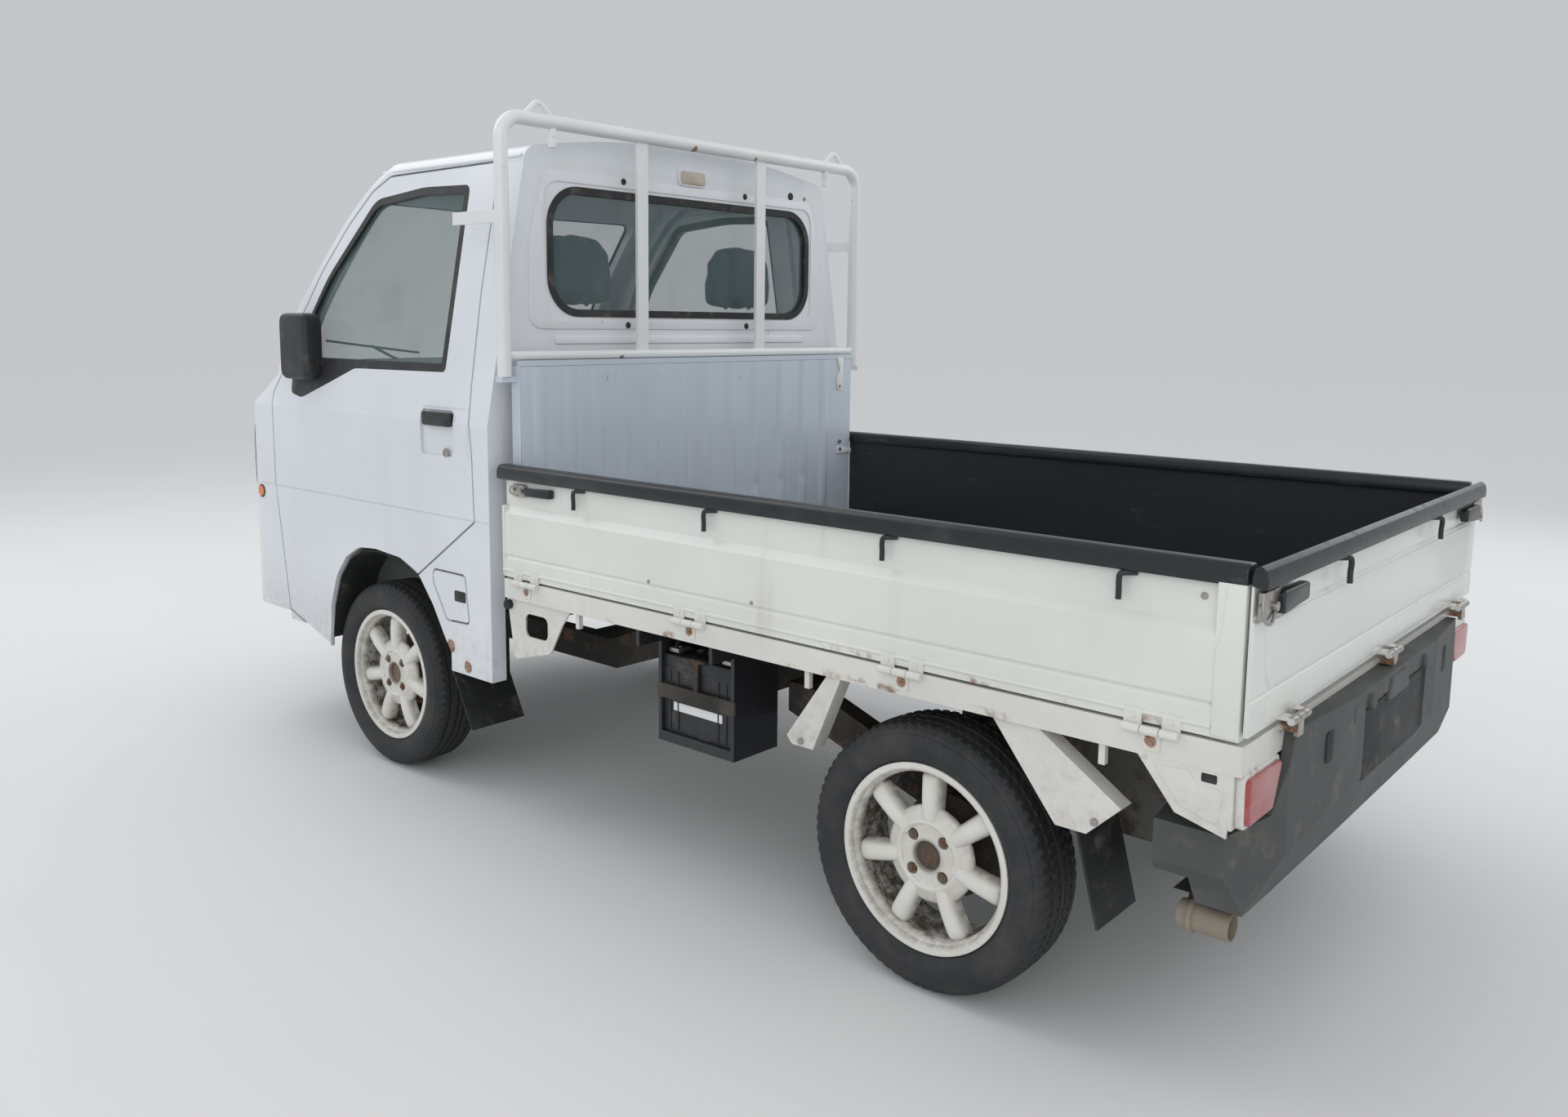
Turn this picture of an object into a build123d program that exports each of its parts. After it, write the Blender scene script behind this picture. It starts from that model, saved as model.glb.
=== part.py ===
from build123d import *
import os
from math import cos, radians, sin, tan

# A small cab-over pickup with a drop-side bed.
# Frame: +X forward, +Y to the left, +Z up, millimetres. The origin is on the
# ground, under the middle of the overall length and width.

# Whole vehicle
total_length = 3395
nose_x = total_length / 2
tail_x = -total_length / 2
front_overhang = 855
rear_overhang = 655
front_axle_x = nose_x - front_overhang
rear_axle_x = tail_x + rear_overhang
half_width = 737
seat_gap = 0.3
door_gap = 6

# Wheels
tyre_r = 272
tyre_width = 155
wheel_outer_y = half_width - 19
wheel_mid_y = wheel_outer_y - tyre_width / 2
rim_r = 178
rim_lip_r = 191
rim_width = 128
rim_wall = 7
rim_lip = 6
spoke_count = 7
spoke_width = 40
hub_face_r = 68
rim_bore_r = 29
stub_r = rim_bore_r - seat_gap
lug_circle_r = 50
lug_r = 9

# Cab shell. One row per level: height, where the corner arc starts ahead of the axle, corner radius,
# bow of the front
cab_rear_x = front_axle_x - 550
cab_bottom_z = 362
shoulder_z = 1037
lean = 0.19
wall = 45
nose_corner_r = 176
nose_bow = 6
CAB_LEVELS = (
    (1131, 535.5, 100, 20),
    (1228, 524.5, 90, 19),
    (1449, 384.5, 90, 17),
    (1582, 268.5, 90, 16),
    (1680, 157.5, 90, 15),
    (1753, 13.5, 90, 14),
    (1830, -242.5, 90, 14),
)
roof_z = 1808
roof_edge_z = 1712
roof_seam_z = 1722
cab_split_x = front_axle_x - 42.5
groove_z = 783
groove_high = 4
groove_deep = 2

# Door
door_skin = 12
door_depth = 39
door_step = 30
lip_depth = 18
lip_cover = 8
hinge_x = front_axle_x + 566.5
hinge_y = half_width - 2.5
hinge_pin_r = 1.5
hinge_pin_top_z = 900
glass_depth = 8
glass_thick = 5

# Bumper seam and front openings
bumper_top_z = 739
bumper_bottom_z = 388
bumper_wall = 30

# Bed
bed_front_x = cab_rear_x - 60
bed_rear_x = tail_x + 46
bed_length = bed_front_x - bed_rear_x
bed_floor_z = 665
bed_floor_thick = 12
sill_top_z = 653
sill_bottom_z = 603
sill_width = 42
gate_bottom_z = 659
gate_top_z = 911
pad_top_z = 943.6
pad_width = 45
gate_thick = 33
gate_inner_y = half_width - gate_thick
gate_axis_y = half_width + 8
gate_axis_z = 648
knuckle_r = 6
pin_r = 3
GATE_HINGE_X = [bed_front_x - share * bed_length for share in (0.0488, 0.3556, 0.6587, 0.9246)]
HOOK_X = [bed_front_x - share * bed_length for share in (0.1476, 0.3785, 0.6311, 0.888)]
PEG_X = [bed_front_x - share * bed_length for share in (0.1444, 0.5287, 0.8758)]
tail_skin_x = tail_x + 33
tail_skin_thick = 8
tail_recess = 4
tail_inner_x = tail_x + 61.5
tail_pad_x = tail_x + 15
tail_axis_x = tail_x + 11.5
tail_axis_z = 668
tail_bottom_z = 668
TAIL_HINGE_Y = (-560, 0, 560)
TAIL_HOOK_Y = (-320, 320)

# Guard frame and headboard
guard_x = cab_rear_x - 50
guard_tube_r = 18
guard_post_y = half_width - 2 - guard_tube_r
guard_top_z = 1809
guard_low_z = 1218
guard_bar_y = 245
guard_stub_y = half_width - 182
guard_loop_y = half_width - 137
guard_loop_z = guard_top_z + 56
headboard_x = cab_rear_x - 66.5
guard_foot_z = 1166
headboard_top_z = 1192

# Ladder frame
rail_y = 330
rail_width = 50
rail_height = 90
rail_top_z = 555
front_rail_top_z = 415
front_rail_low_z = 335
rail_rear_x = tail_x + 97.5
rail_front_x = nose_x - 257.5
tow_at = (rail_front_x + 28, 317)
tow_r = 14
tow_plate = 12

# Steering
kingpin_low = (half_width - 131, 165)
kingpin_high = (half_width - 267, 690)
strut_top_z = 648
steering_wheel_at = (front_axle_x + 192.5, -330, 1110)
steering_tilt = 38
shaft_r = 10
strut_r = 21
ball_r = 8


def box(x0, x1, y0, y1, z0, z1):
    """Block between two corners."""
    block = Box(x1 - x0, y1 - y0, z1 - z0)
    return Pos((x0 + x1) / 2, (y0 + y1) / 2, (z0 + z1) / 2) * block


def outline(points, radius=0):
    """Closed outline with straight sides; radius is one number or one for each corner."""
    if radius:
        return make_face(FilletPolyline(*points, radius=radius, close=True))
    return make_face(Polyline(*points, close=True))


def from_x(origin, points):
    """Points of a side drawing whose X is measured from an origin."""
    return [(origin + x, z) for x, z in points]


def along_y(face, y0, y1):
    """A face drawn in X and Z, run from y0 to y1."""
    return Pos(0, y0, 0) * extrude(Plane.XZ * face, amount=y1 - y0, dir=(0, 1, 0))


def along_x(face, x0, x1):
    """A face drawn in Y and Z, run from x0 to x1."""
    return Pos(x0, 0, 0) * extrude(Plane.YZ * face, amount=x1 - x0, dir=(1, 0, 0))


def along_z(face, z0, z1):
    """A face drawn in X and Y, run from z0 to z1."""
    return Pos(0, 0, z0) * extrude(face, amount=z1 - z0, dir=(0, 0, 1))


def grow(face, amount):
    """A face with its outline moved out (or in, when negative)."""
    return offset(face, amount=amount, kind=Kind.INTERSECTION)


def rod(start, end, radius):
    """Round bar between two points."""
    path = Line(start, end)
    return sweep(Plane(start, z_dir=path % 0) * Circle(radius), path)


def tube_path(points, bend, radius):
    """Round bar along straight runs with bends of one radius."""
    path = FilletPolyline(*points, radius=bend) if bend else Polyline(*points)
    return sweep(Plane(path @ 0, z_dir=path % 0) * Circle(radius), path)


def disc_y(x, z, radius, y0, y1):
    """Round disc whose axis is Y."""
    return along_y(Pos(x, z) * Circle(radius), y0, y1)


def disc_x(y, z, radius, x0, x1):
    """Round disc whose axis is X."""
    return along_x(Pos(y, z) * Circle(radius), x0, x1)


def other_side(shape):
    """The same piece on the right."""
    return mirror(shape, about=Plane.XZ)


def both(shape):
    """A piece and its twin on the right, as two solids."""
    return Compound(children=solids_of(shape) + solids_of(other_side(shape)))


def solids_of(*shapes):
    """All solids in the given shapes."""
    return [solid for shape in shapes for solid in shape.solids()]


def side_y(z):
    """Half width of the cab at a height."""
    return half_width - lean * max(0, z - shoulder_z)


# Cab shell


def cab_level(z, corner_x, corner_r, bow, inset):
    """Plan outline of the cab at one height, moved inwards by inset."""
    side = side_y(z) - inset
    r = corner_r - inset
    rear = cab_rear_x + inset
    turn = radians(bow)
    corner = (corner_x + r * cos(turn), side - r * (1 - sin(turn)))
    tip = corner[0] + corner[1] * tan(turn / 2)
    line = Curve() + [
        Line((rear, -side), (corner_x, -side)),
        TangentArc((corner_x, -side), (corner[0], -corner[1]), tangent=(1, 0)),
        ThreePointArc((corner[0], -corner[1]), (tip, 0), corner),
        TangentArc(corner, (corner_x, side), tangent=(-sin(turn), cos(turn))),
        Line((corner_x, side), (rear, side)),
        Line((rear, side), (rear, -side)),
    ]
    return Pos(0, 0, z) * make_face(line)


def nose_corner_x():
    """Where the nose's corner arc starts, from the overall length."""
    turn = radians(nose_bow)
    half_chord = half_width - nose_corner_r * (1 - sin(turn))
    return nose_x - nose_corner_r * cos(turn) - half_chord * tan(turn / 2)


def crown(inset):
    """Roof's crown: the edge point and the arcs from the left edge to the right one."""
    edge_z = roof_edge_z - inset
    edge_y = side_y(edge_z) - inset
    shoulder = (edge_y - 43, edge_z + 45.5)
    middle = (edge_y - 11.5, edge_z + 29)
    arcs = [
        ThreePointArc((edge_y, edge_z), middle, shoulder),
        ThreePointArc(shoulder, (0, roof_z - inset), (-shoulder[0], shoulder[1])),
        ThreePointArc((-shoulder[0], shoulder[1]), (-middle[0], middle[1]), (-edge_y, edge_z)),
    ]
    return edge_y, edge_z, arcs


def crown_cutter(inset):
    """Everything under the crowned roof, moved down by inset."""
    edge_y, edge_z, arcs = crown(inset)
    far = half_width + 100
    line = Curve() + [
        Line((-far, 200), (far, 200)),
        Line((far, 200), (far, edge_z)),
        Line((far, edge_z), (edge_y, edge_z)),
        *arcs,
        Line((-edge_y, edge_z), (-far, edge_z)),
        Line((-far, edge_z), (-far, 200)),
    ]
    return along_x(make_face(line), cab_rear_x - 100, nose_x + 100)


def cab_section(inset, bottom):
    """Cab's section across the vehicle, moved inwards by inset."""
    edge_y, edge_z, arcs = crown(inset)
    side = half_width - inset
    line = Curve() + [
        Line((-side, bottom), (side, bottom)),
        Line((side, bottom), (side, shoulder_z)),
        Line((side, shoulder_z), (edge_y, edge_z)),
        *arcs,
        Line((-edge_y, edge_z), (-side, shoulder_z)),
        Line((-side, shoulder_z), (-side, bottom)),
    ]
    return make_face(line)


def side_layer(outer, inner):
    """Left wall between two depths, up to the roof seam; a negative depth lies outside."""
    top = side_y(roof_seam_z)
    points = [(half_width - outer, 200), (half_width - outer, shoulder_z), (top - outer, roof_seam_z)]
    points += [(top - inner, roof_seam_z), (half_width - inner, shoulder_z), (half_width - inner, 200)]
    return along_x(outline(points), cab_rear_x - 50, nose_x + 50)


FRONT_SOLIDS = {}


def cab_front_solid(inset):
    """The cab's form ahead of the split, moved inwards by inset; inner ones run out below."""
    if inset not in FRONT_SOLIDS:
        bottom = cab_bottom_z - (100 if inset else 0)
        base = cab_level(shoulder_z, nose_corner_x(), nose_corner_r, nose_bow, inset)
        levels = [cab_level(z, front_axle_x + x, r, bow, inset) for z, x, r, bow in CAB_LEVELS]
        body = extrude(base, amount=bottom - shoulder_z, dir=(0, 0, 1))
        body += loft([base, levels[0]], ruled=True)
        body += loft(levels)
        body &= box(cab_split_x, nose_x + 50, -900, 900, 200, 2000)
        FRONT_SOLIDS[inset] = body & crown_cutter(inset)
    return FRONT_SOLIDS[inset]


def front_layer(outer, inner):
    """The part of the front's wall between two depths."""
    return cab_front_solid(outer) - cab_front_solid(inner)


# Outlines on the cab's side: X from the front axle, Z, and the corner's radius

arch_front_x = 275.5
DOOR_POINTS = (
    (-446, 1716, 30), (-443, 1375, 300), (-456, 1131, 300), (-476.5, 950, 300), (-482, 784, 8),
    (-217, 610, 0), (-82.5, 500, 0), (242.5, 290, 0), (arch_front_x, 325, 0), (503, 395, 0),
    (550, 694, 100), (565.5, 783, 300), (569.5, 1075, 30), (523.5, 1150, 60), (509.5, 1232, 100),
    (371.5, 1449, 300), (255.5, 1582, 200), (147.5, 1675, 100), (62.5, 1712, 60),
)
WINDOW_POINTS = (
    (-333, 1666, 22), (-117, 1673, 500), (125, 1652, 90), (339.5, 1430, 400), (475.5, 1206, 60),
    (463.5, 1080, 20), (397.5, 1068, 60), (260, 1115, 80), (118, 1165, 80), (-334, 1168, 14),
)
GLASS_POINTS = (
    (-311.5, 1644, 16), (-117, 1651, 500), (114.5, 1632, 80), (325.5, 1420, 400), (395.5, 1310, 60),
    (362.5, 1190, 20), (-312.5, 1190, 10),
)
ARCH_POINTS = (
    (-368, 340, 0), (-368, 412, 0), (-339, 450, 60), (-285, 533, 100), (-217, 610, 80),
    (-129, 642, 60), (-3, 651, 200), (85, 645, 100), (160.5, 607, 60), (217.5, 543, 60),
    (255.5, 450, 120), (arch_front_x, 340, 0),
)
FUEL_LID_POINTS = (
    (-435.5, 630, 12), (-296.5, 630, 10), (-290.5, 602, 30), (-353.5, 503, 10), (-449.5, 507, 8),
)
lid_pin_r = 2
lid_pin_y = half_width - 4


def rounded(points):
    """Outline from rows of X from the front axle, Z and corner radius."""
    return outline(from_x(front_axle_x, [row[:2] for row in points]), [row[2] for row in points])


def side_prism(face, left=True):
    """A side outline run through the left or right wall."""
    return along_y(face, 400, 900) if left else along_y(face, -900, -400)


def both_prism(face):
    """A side outline run right across the cab."""
    return along_y(face, -900, 900)


def arch_cutter():
    """The front wheel opening, run down past the bottom of the wall."""
    points = list(ARCH_POINTS)
    points[0] = (points[0][0], 200, 0)
    points[-1] = (arch_front_x, 200, 0)
    return both_prism(rounded(points))


def windshield_face(margin):
    """Windshield opening seen from the front, grown by margin."""
    low, high = half_width - 152, half_width - 225
    points = ((-low, 1168), (low, 1168), (high, 1660), (-high, 1660))
    return grow(outline(points, 50), margin)


def rear_window_face(margin):
    """Back window opening seen from behind, grown by margin."""
    half = half_width - 219 + margin
    return Pos(0, 1490.5) * RectangleRounded(2 * half, 2 * (152 + margin), 85 + margin)


rear_gasket_width = 20
gasket_proud = 3


def cab_pieces():
    """Roof, back wall, side panels, nose panel and bumper."""
    door = rounded(DOOR_POINTS)
    rebate = side_prism(grow(door, door_gap)) & side_layer(-30, lip_depth)
    opening = side_prism(grow(door, -lip_cover)) + rebate
    opening += other_side(opening)
    lid = side_prism(grow(rounded(FUEL_LID_POINTS), door_gap)) & side_layer(-30, 20)
    near, far = cab_rear_x - 100, nose_x + 100
    seam = box(near, far, -900, 900, roof_seam_z, 2000)
    outer, inner = cab_section(0, cab_bottom_z), cab_section(wall, 200)
    hoop = along_x(outer - inner, cab_rear_x, cab_split_x)
    infill = along_x(inner, cab_rear_x, cab_rear_x + wall)
    infill -= box(near, far, -900, 900, 0, platform_z - 60)
    infill -= along_x(rear_window_face(rear_gasket_width), near, cab_split_x)
    sides = hoop - seam - opening - arch_cutter() - lid - side_groove() + lid_pin(lid_pin_r)
    back = infill - seam
    front = front_layer(0, wall) - opening - arch_cutter()
    front -= along_x(windshield_face(0), cab_split_x, far)
    roof = (hoop & seam) + (infill & seam) + (front & seam)
    bumper_region = along_y(outline(from_x(front_axle_x, BUMPER_SEAM)), -900, 900)
    bumper = (nose_block(0) - nose_block(bumper_wall)) & bumper_region
    bumper -= side_prism(grow(door, door_gap)) + other_side(side_prism(grow(door, door_gap)))
    front = front - seam - bumper_region - side_groove()
    pin = door_pin(hinge_pin_r)
    front += pin + other_side(pin)
    return roof, back, sides, front, bumper


def nose_block(inset):
    """The nose's plan outline run upright."""
    base = cab_level(0, nose_corner_x(), nose_corner_r, nose_bow, inset)
    return along_z(base, bumper_bottom_z, shoulder_z)


BUMPER_SEAM = (
    (497.5, 300), (503, 395), (550, 694), (558.5, bumper_top_z), (957.5, bumper_top_z), (957.5, 300),
)


def lid_pin(radius):
    """Fuel lid's hinge pin along its slanted front edge, held in the side panel at both ends."""
    high, low = FUEL_LID_POINTS[2], FUEL_LID_POINTS[3]
    dx, dz = low[0] - high[0], low[1] - high[1]
    size = (dx * dx + dz * dz) ** 0.5
    dx, dz = dx / size, dz / size
    inset, reach = 5, 34
    x, z = front_axle_x + high[0] + inset * dz, high[1] - inset * dx
    start = (x - reach * dx, lid_pin_y, z - reach * dz)
    end = (x + (size + reach) * dx, lid_pin_y, z + (size + reach) * dz)
    return rod(start, end, radius)


def fuel_lid():
    """The lid over the fuel filler."""
    lid = side_prism(rounded(FUEL_LID_POINTS)) & side_layer(0, 8)
    return lid - lid_pin(lid_pin_r + seat_gap)


def side_groove():
    """Groove pressed along both sides of the cab."""
    y = half_width - groove_deep
    left = box(cab_rear_x - 10, nose_x, y, half_width + 5, groove_z, groove_z + groove_high)
    return left + other_side(left)


def door_pin(radius):
    """Left door's upright hinge pin, which stands on the nose panel."""
    foot_z = bumper_top_z + 1
    return rod((hinge_x, hinge_y, foot_z), (hinge_x, hinge_y, hinge_pin_top_z), radius)


def door_panel():
    """Left door: skin with a stepped inner body, window and handle recess."""
    door = rounded(DOOR_POINTS)
    skin = side_prism(door) & side_layer(0, door_skin)
    body = side_prism(grow(door, -door_step)) & side_layer(door_skin, door_depth)
    panel = skin + body
    panel -= side_prism(rounded(WINDOW_POINTS))
    panel -= arch_cutter()
    panel -= door_pin(hinge_pin_r + seat_gap)
    dish = Pos(front_axle_x - 322.5, 1008) * RectangleRounded(151, 122, 14)
    panel -= side_prism(dish) & side_layer(-30, 8)
    return panel - side_groove()


def door_glass():
    """Left door's window pane."""
    return side_prism(rounded(GLASS_POINTS)) & side_layer(glass_depth, glass_depth + glass_thick)


def door_trim():
    """Black window frame, outer handle and the mirror, folded flat."""
    frame = side_prism(rounded(WINDOW_POINTS)) & side_layer(0, 22)
    frame -= side_prism(rounded(GLASS_POINTS))
    handle = along_y(Pos(front_axle_x - 329, 1045) * RectangleRounded(130, 36, 12), half_width - 8,
                     half_width + 4)
    mirror_y = side_y(1224) + 8
    shell = along_y(Pos(front_axle_x + 379, 1224) * RectangleRounded(150, 192, 34), mirror_y, mirror_y + 50)
    foot = Pos(front_axle_x + 419.5, 1130) * RectangleRounded(60, 44, 10)
    foot = along_y(foot, side_y(1150) - 10, mirror_y)
    pod = shell + foot - side_layer(0, 60)
    return Compound(children=solids_of(frame, handle, pod))


def front_lamps():
    """Headlamps cut from the nose's corners, with the round side lamps below them."""
    lens = (nose_block(0) - nose_block(40)) & lamp_box()
    marker = disc_y(nose_x - 190, 757, 13, half_width, half_width + 3)
    return Compound(children=solids_of(both(lens), both(marker)))


def lamp_box():
    """Room of the left front lamp."""
    return box(nose_x - 297.5, nose_x + 50, half_width - 352, half_width - 37, 765, 968)


def grille_cut():
    """Slots of the front panel."""
    slots = [box(nose_x - 97.5, nose_x + 50, -330, 330, z, z + 16) for z in (800, 832, 864)]
    return Compound(children=slots)


def cab_glass():
    """Curved windshield and flat back pane."""
    front = front_layer(glass_depth, glass_depth + 6) & along_x(windshield_face(0), cab_split_x, nose_x)
    back = along_x(rear_window_face(0), cab_rear_x + 6, cab_rear_x + 11)
    return Compound(children=solids_of(front, back))


def rear_gasket():
    """Black rubber round the back pane."""
    ring = along_x(rear_window_face(rear_gasket_width), cab_rear_x - gasket_proud, cab_rear_x + 20)
    return ring - along_x(rear_window_face(0), cab_rear_x - 50, cab_rear_x + 50)


# Cab inside

floor_half = half_width - wall
platform_z = 640
footwell_z = 452
floor_thick = 22
wheelhouse_y = 405
seat_base_z = 712
cushion_z = 815
back_top_z = 1385


def cab_floor():
    """Seat platform, footwell, wheel boxes with their strut cups, and the seat boxes."""
    rear = cab_rear_x + wall - front_axle_x
    low = footwell_z - floor_thick
    profile = (
        (rear, platform_z), (-142.5, platform_z), (-52.5, footwell_z), (797.5, footwell_z), (797.5, low),
        (-67.5, low), (-152.5, platform_z - floor_thick), (rear, platform_z - floor_thick),
    )
    middle = along_y(outline(from_x(front_axle_x, profile)), -wheelhouse_y, wheelhouse_y)
    side_profile = (
        (rear, platform_z), (-292.5, platform_z + 24), (202.5, 687), (339.5, 570), (339.5, footwell_z),
        (797.5, footwell_z), (797.5, low), (317.5, low), (317.5, 560), (187.5, 665),
        (-282.5, platform_z), (-312.5, platform_z - floor_thick), (rear, platform_z - floor_thick),
    )
    side = along_y(outline(from_x(front_axle_x, side_profile)), wheelhouse_y, floor_half)
    cheek_profile = (
        (rear, platform_z), (-292.5, platform_z + 24), (202.5, 687), (339.5, 570), (339.5, low),
        (-67.5, low), (-152.5, platform_z - floor_thick), (rear, platform_z - floor_thick),
    )
    cheek = along_y(outline(from_x(front_axle_x, cheek_profile)), wheelhouse_y - 12, wheelhouse_y)
    pan = middle + side + other_side(side) + cheek + other_side(cheek)
    x = front_axle_x
    keep = nose_block(wall) + box(cab_rear_x + wall, x + 357.5, -floor_half, floor_half, 300, 1000)
    pan = pan & keep
    seat_box = box(x - 402.5, x - 152.5, 150, wheelhouse_y - 14, platform_z, seat_base_z)
    strut_cup = rod((x, *kingpin_at(strut_top_z - 34)), (x, *kingpin_at(strut_top_z + 20)), strut_r + 12)
    strut_cup -= rod((x, *kingpin_at(500)), (x, *kingpin_at(strut_top_z + 6)), strut_r + seat_gap)
    return pan + seat_box + other_side(seat_box) + strut_cup + other_side(strut_cup)


def dash():
    """Dashboard across the cab."""
    profile = (
        (457.5, 1105), (717.5, 1122), (807.5, 1050), (807.5, 900), (557.5, 850), (487.5, 900), (427.5, 1040),
    )
    half = floor_half - 72
    return along_y(outline(from_x(front_axle_x, profile), 20), -half, half) & cab_front_solid(wall + seat_gap)


def steering_column():
    """Column from the dash to just under the steering wheel, with the shaft that carries it."""
    x, y, z = steering_wheel_at
    tilt = radians(steering_tilt)
    ahead = (cos(tilt), -sin(tilt))
    start = (x + 37 * ahead[0], y, z + 37 * ahead[1])
    end = (x + 385 * ahead[0], y, z + 385 * ahead[1])
    tip = (x + 12 * ahead[0], y, z + 12 * ahead[1])
    return rod(start, end, 28) + rod(tip, start, shaft_r)


def steering_wheel():
    """Rim, three spokes and pad."""
    rim = Torus(178, 13)
    hub = Pos(0, 0, -14) * Cylinder(42, 34)
    hub -= Pos(0, 0, -22) * Cylinder(shaft_r + seat_gap, 24)
    wheel = rim + hub
    for turn in (90, 200, 340):
        wheel += Rot(0, 0, turn) * Pos(105, 0, -8) * Box(150, 30, 12)
    x, y, z = steering_wheel_at
    return Pos(x, y, z) * Rot(0, steering_tilt - 90, 0) * wheel


def seats():
    """Two seats: cushion, back and headrest each."""
    pieces = []
    for y in (-345, 345):
        base, top = seat_base_z + seat_gap, cushion_z + seat_gap
        low = back_top_z + seat_gap
        cushion = ((-412.5, base), (117.5, base), (117.5, 800), (57.5, 832), (-312.5, cushion_z),
                   (-412.5, cushion_z))
        back = ((-447.5, top), (-322.5, top), (-372.5, back_top_z), (-457.5, back_top_z))
        headrest = ((-457.5, low), (-372.5, low), (-387.5, 1560), (-450.5, 1560))
        cushion = along_y(outline(from_x(front_axle_x, cushion), 20), y - 230, y + 230)
        back = along_y(outline(from_x(front_axle_x, back), 20), y - 215, y + 215)
        headrest = along_y(outline(from_x(front_axle_x, headrest), 22), y - 135, y + 135)
        pieces += solids_of(cushion, back, headrest)
    return Compound(children=pieces)


# Bed


def gate_section():
    """Side gate's section in Y and Z."""
    y = half_width
    points = (
        (y, gate_bottom_z), (y, 706), (y - 4, 712), (y, 718), (y, 822), (y - 15, 840),
        (y - 15, gate_top_z),
        (gate_inner_y, gate_top_z), (gate_inner_y, gate_bottom_z),
    )
    return outline(points)


def side_gate():
    """Left drop side with its end cap and hinge knuckles."""
    panel = along_x(gate_section(), bed_rear_x, bed_front_x + 2)
    cap_x = bed_rear_x + 45
    panel += box(bed_rear_x, cap_x, gate_inner_y, half_width + 1, gate_bottom_z, gate_top_z)
    for x in GATE_HINGE_X:
        for dx in (-33, 33):
            knuckle = disc_x(gate_axis_y, gate_axis_z, knuckle_r, x + dx - 16, x + dx + 16)
            leaf = box(x + dx - 16, x + dx + 16, half_width, half_width + 3, gate_axis_z, gate_bottom_z + 22)
            panel += knuckle + leaf
        panel -= disc_x(gate_axis_y, gate_axis_z, pin_r + seat_gap, x - 60, x + 60)
    return panel


def side_gate_trim():
    """Black rail pad, rope hooks and front latch of the left gate."""
    pad = box(bed_rear_x, bed_front_x + 27, half_width - pad_width, half_width, gate_top_z, pad_top_z)
    pad = fillet(pad.edges().filter_by(Axis.X).group_by(Axis.Z)[-1], 12)
    pieces = pad
    for x in HOOK_X:
        pieces += box(x - 5, x + 5, half_width - 15, half_width - 5, 896, gate_top_z)
        pieces += box(x - 5, x + 5, half_width - 15, half_width + 4, 896, 903)
        pieces += box(x - 5, x + 5, half_width - 3, half_width + 4, 862, 903)
    latch = box(bed_front_x - 191, bed_front_x - 39, half_width - 15, half_width - 1, 877, 893)
    return Compound(children=solids_of(pieces, latch))


def tail_section():
    """Section of the tailgate's skin in X and Z."""
    x = tail_skin_x
    points = (
        (x, tail_bottom_z), (x, 722), (x + tail_recess, 726), (x, 730), (x, 850),
        (x + tail_recess, 856), (x + tail_recess, gate_top_z),
        (x + tail_skin_thick, gate_top_z), (x + tail_skin_thick, tail_bottom_z),
    )
    return outline(points)


def tailgate():
    """Rear gate: full-width skin with the hinge knuckles, and the inner box between the side pads."""
    body_half = half_width - pad_width - door_gap
    inner_x = tail_skin_x + tail_skin_thick + seat_gap
    inner = box(inner_x, tail_inner_x, -body_half, body_half, tail_bottom_z, gate_top_z)
    panel = along_y(tail_section(), -half_width + 4, half_width - 4)
    for y in TAIL_HINGE_Y:
        for dy in (-28, 28):
            knuckle = disc_y(tail_axis_x, tail_axis_z, knuckle_r, y + dy - 13, y + dy + 13)
            near, far = y + dy - 13, y + dy + 13
            leaf = box(tail_axis_x - 1, tail_skin_x, near, far, tail_axis_z, tail_axis_z + knuckle_r)
            panel += knuckle + leaf
        panel -= disc_y(tail_axis_x, tail_axis_z, pin_r + seat_gap, y - 60, y + 60)
    return Compound(children=solids_of(panel, inner))


def tailgate_trim():
    """Black pad, hooks and end latches of the tailgate."""
    pad = box(tail_pad_x, tail_pad_x + 25, -half_width, half_width, gate_top_z, pad_top_z)
    pad = fillet(pad.edges().filter_by(Axis.Y).group_by(Axis.Z)[-1], 10)
    pieces = pad
    for y in TAIL_HOOK_Y:
        pieces += box(tail_pad_x - 2, tail_skin_x, y - 5, y + 5, 896, 903)
        pieces += box(tail_pad_x - 2, tail_pad_x + 5, y - 5, y + 5, 862, 903)
        pieces += box(tail_pad_x + 2, tail_pad_x + 10, y - 5, y + 5, 896, gate_top_z)
    skin_x = tail_skin_x + tail_recess
    latch = box(tail_pad_x + 4, skin_x, half_width - 133, half_width - 24, 877, 890)
    return Compound(children=solids_of(pieces, latch, other_side(latch)))


def bed_floor():
    """Load floor with shallow lengthwise ridges."""
    half = gate_inner_y - door_gap
    low_z = bed_floor_z - bed_floor_thick
    plate = box(tail_inner_x + door_gap, bed_front_x - 24, -half, half, low_z, bed_floor_z)
    for i in range(9):
        y = (i - 4) * (half - 98) / 4
        plate += box(tail_inner_x + 40, bed_front_x - 60, y - 30, y + 30, bed_floor_z, bed_floor_z + 4)
    return plate


# Plates under the sill: X from the rear axle for stays and skirt, from the bed's front for the guard
ARCH_STAYS = (
    ((189.5, 603), (224.5, 603), (331.5, 452), (316.5, 436), (260.5, 436)),
    ((-247.5, 603), (-157.5, 603), (-292.5, 432), (-352.5, 432), (-415.5, 493)),
)
GUARD_PLATE = ((5.5, 603), (-22.5, 442), (-166.5, 480), (-212.5, 560), (-246.5, 603))
SKIRT = ((-443.5, 603), (-511.5, 519), (-597.5, 497), (-605.5, 603))
stay_y = half_width - 12
lamp_x = tail_x + 49.5
CROSS_X = [rear_axle_x + x for x in (-287.5, -7.5, 392.5, 792.5)] + [bed_front_x - 82.5]


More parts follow.
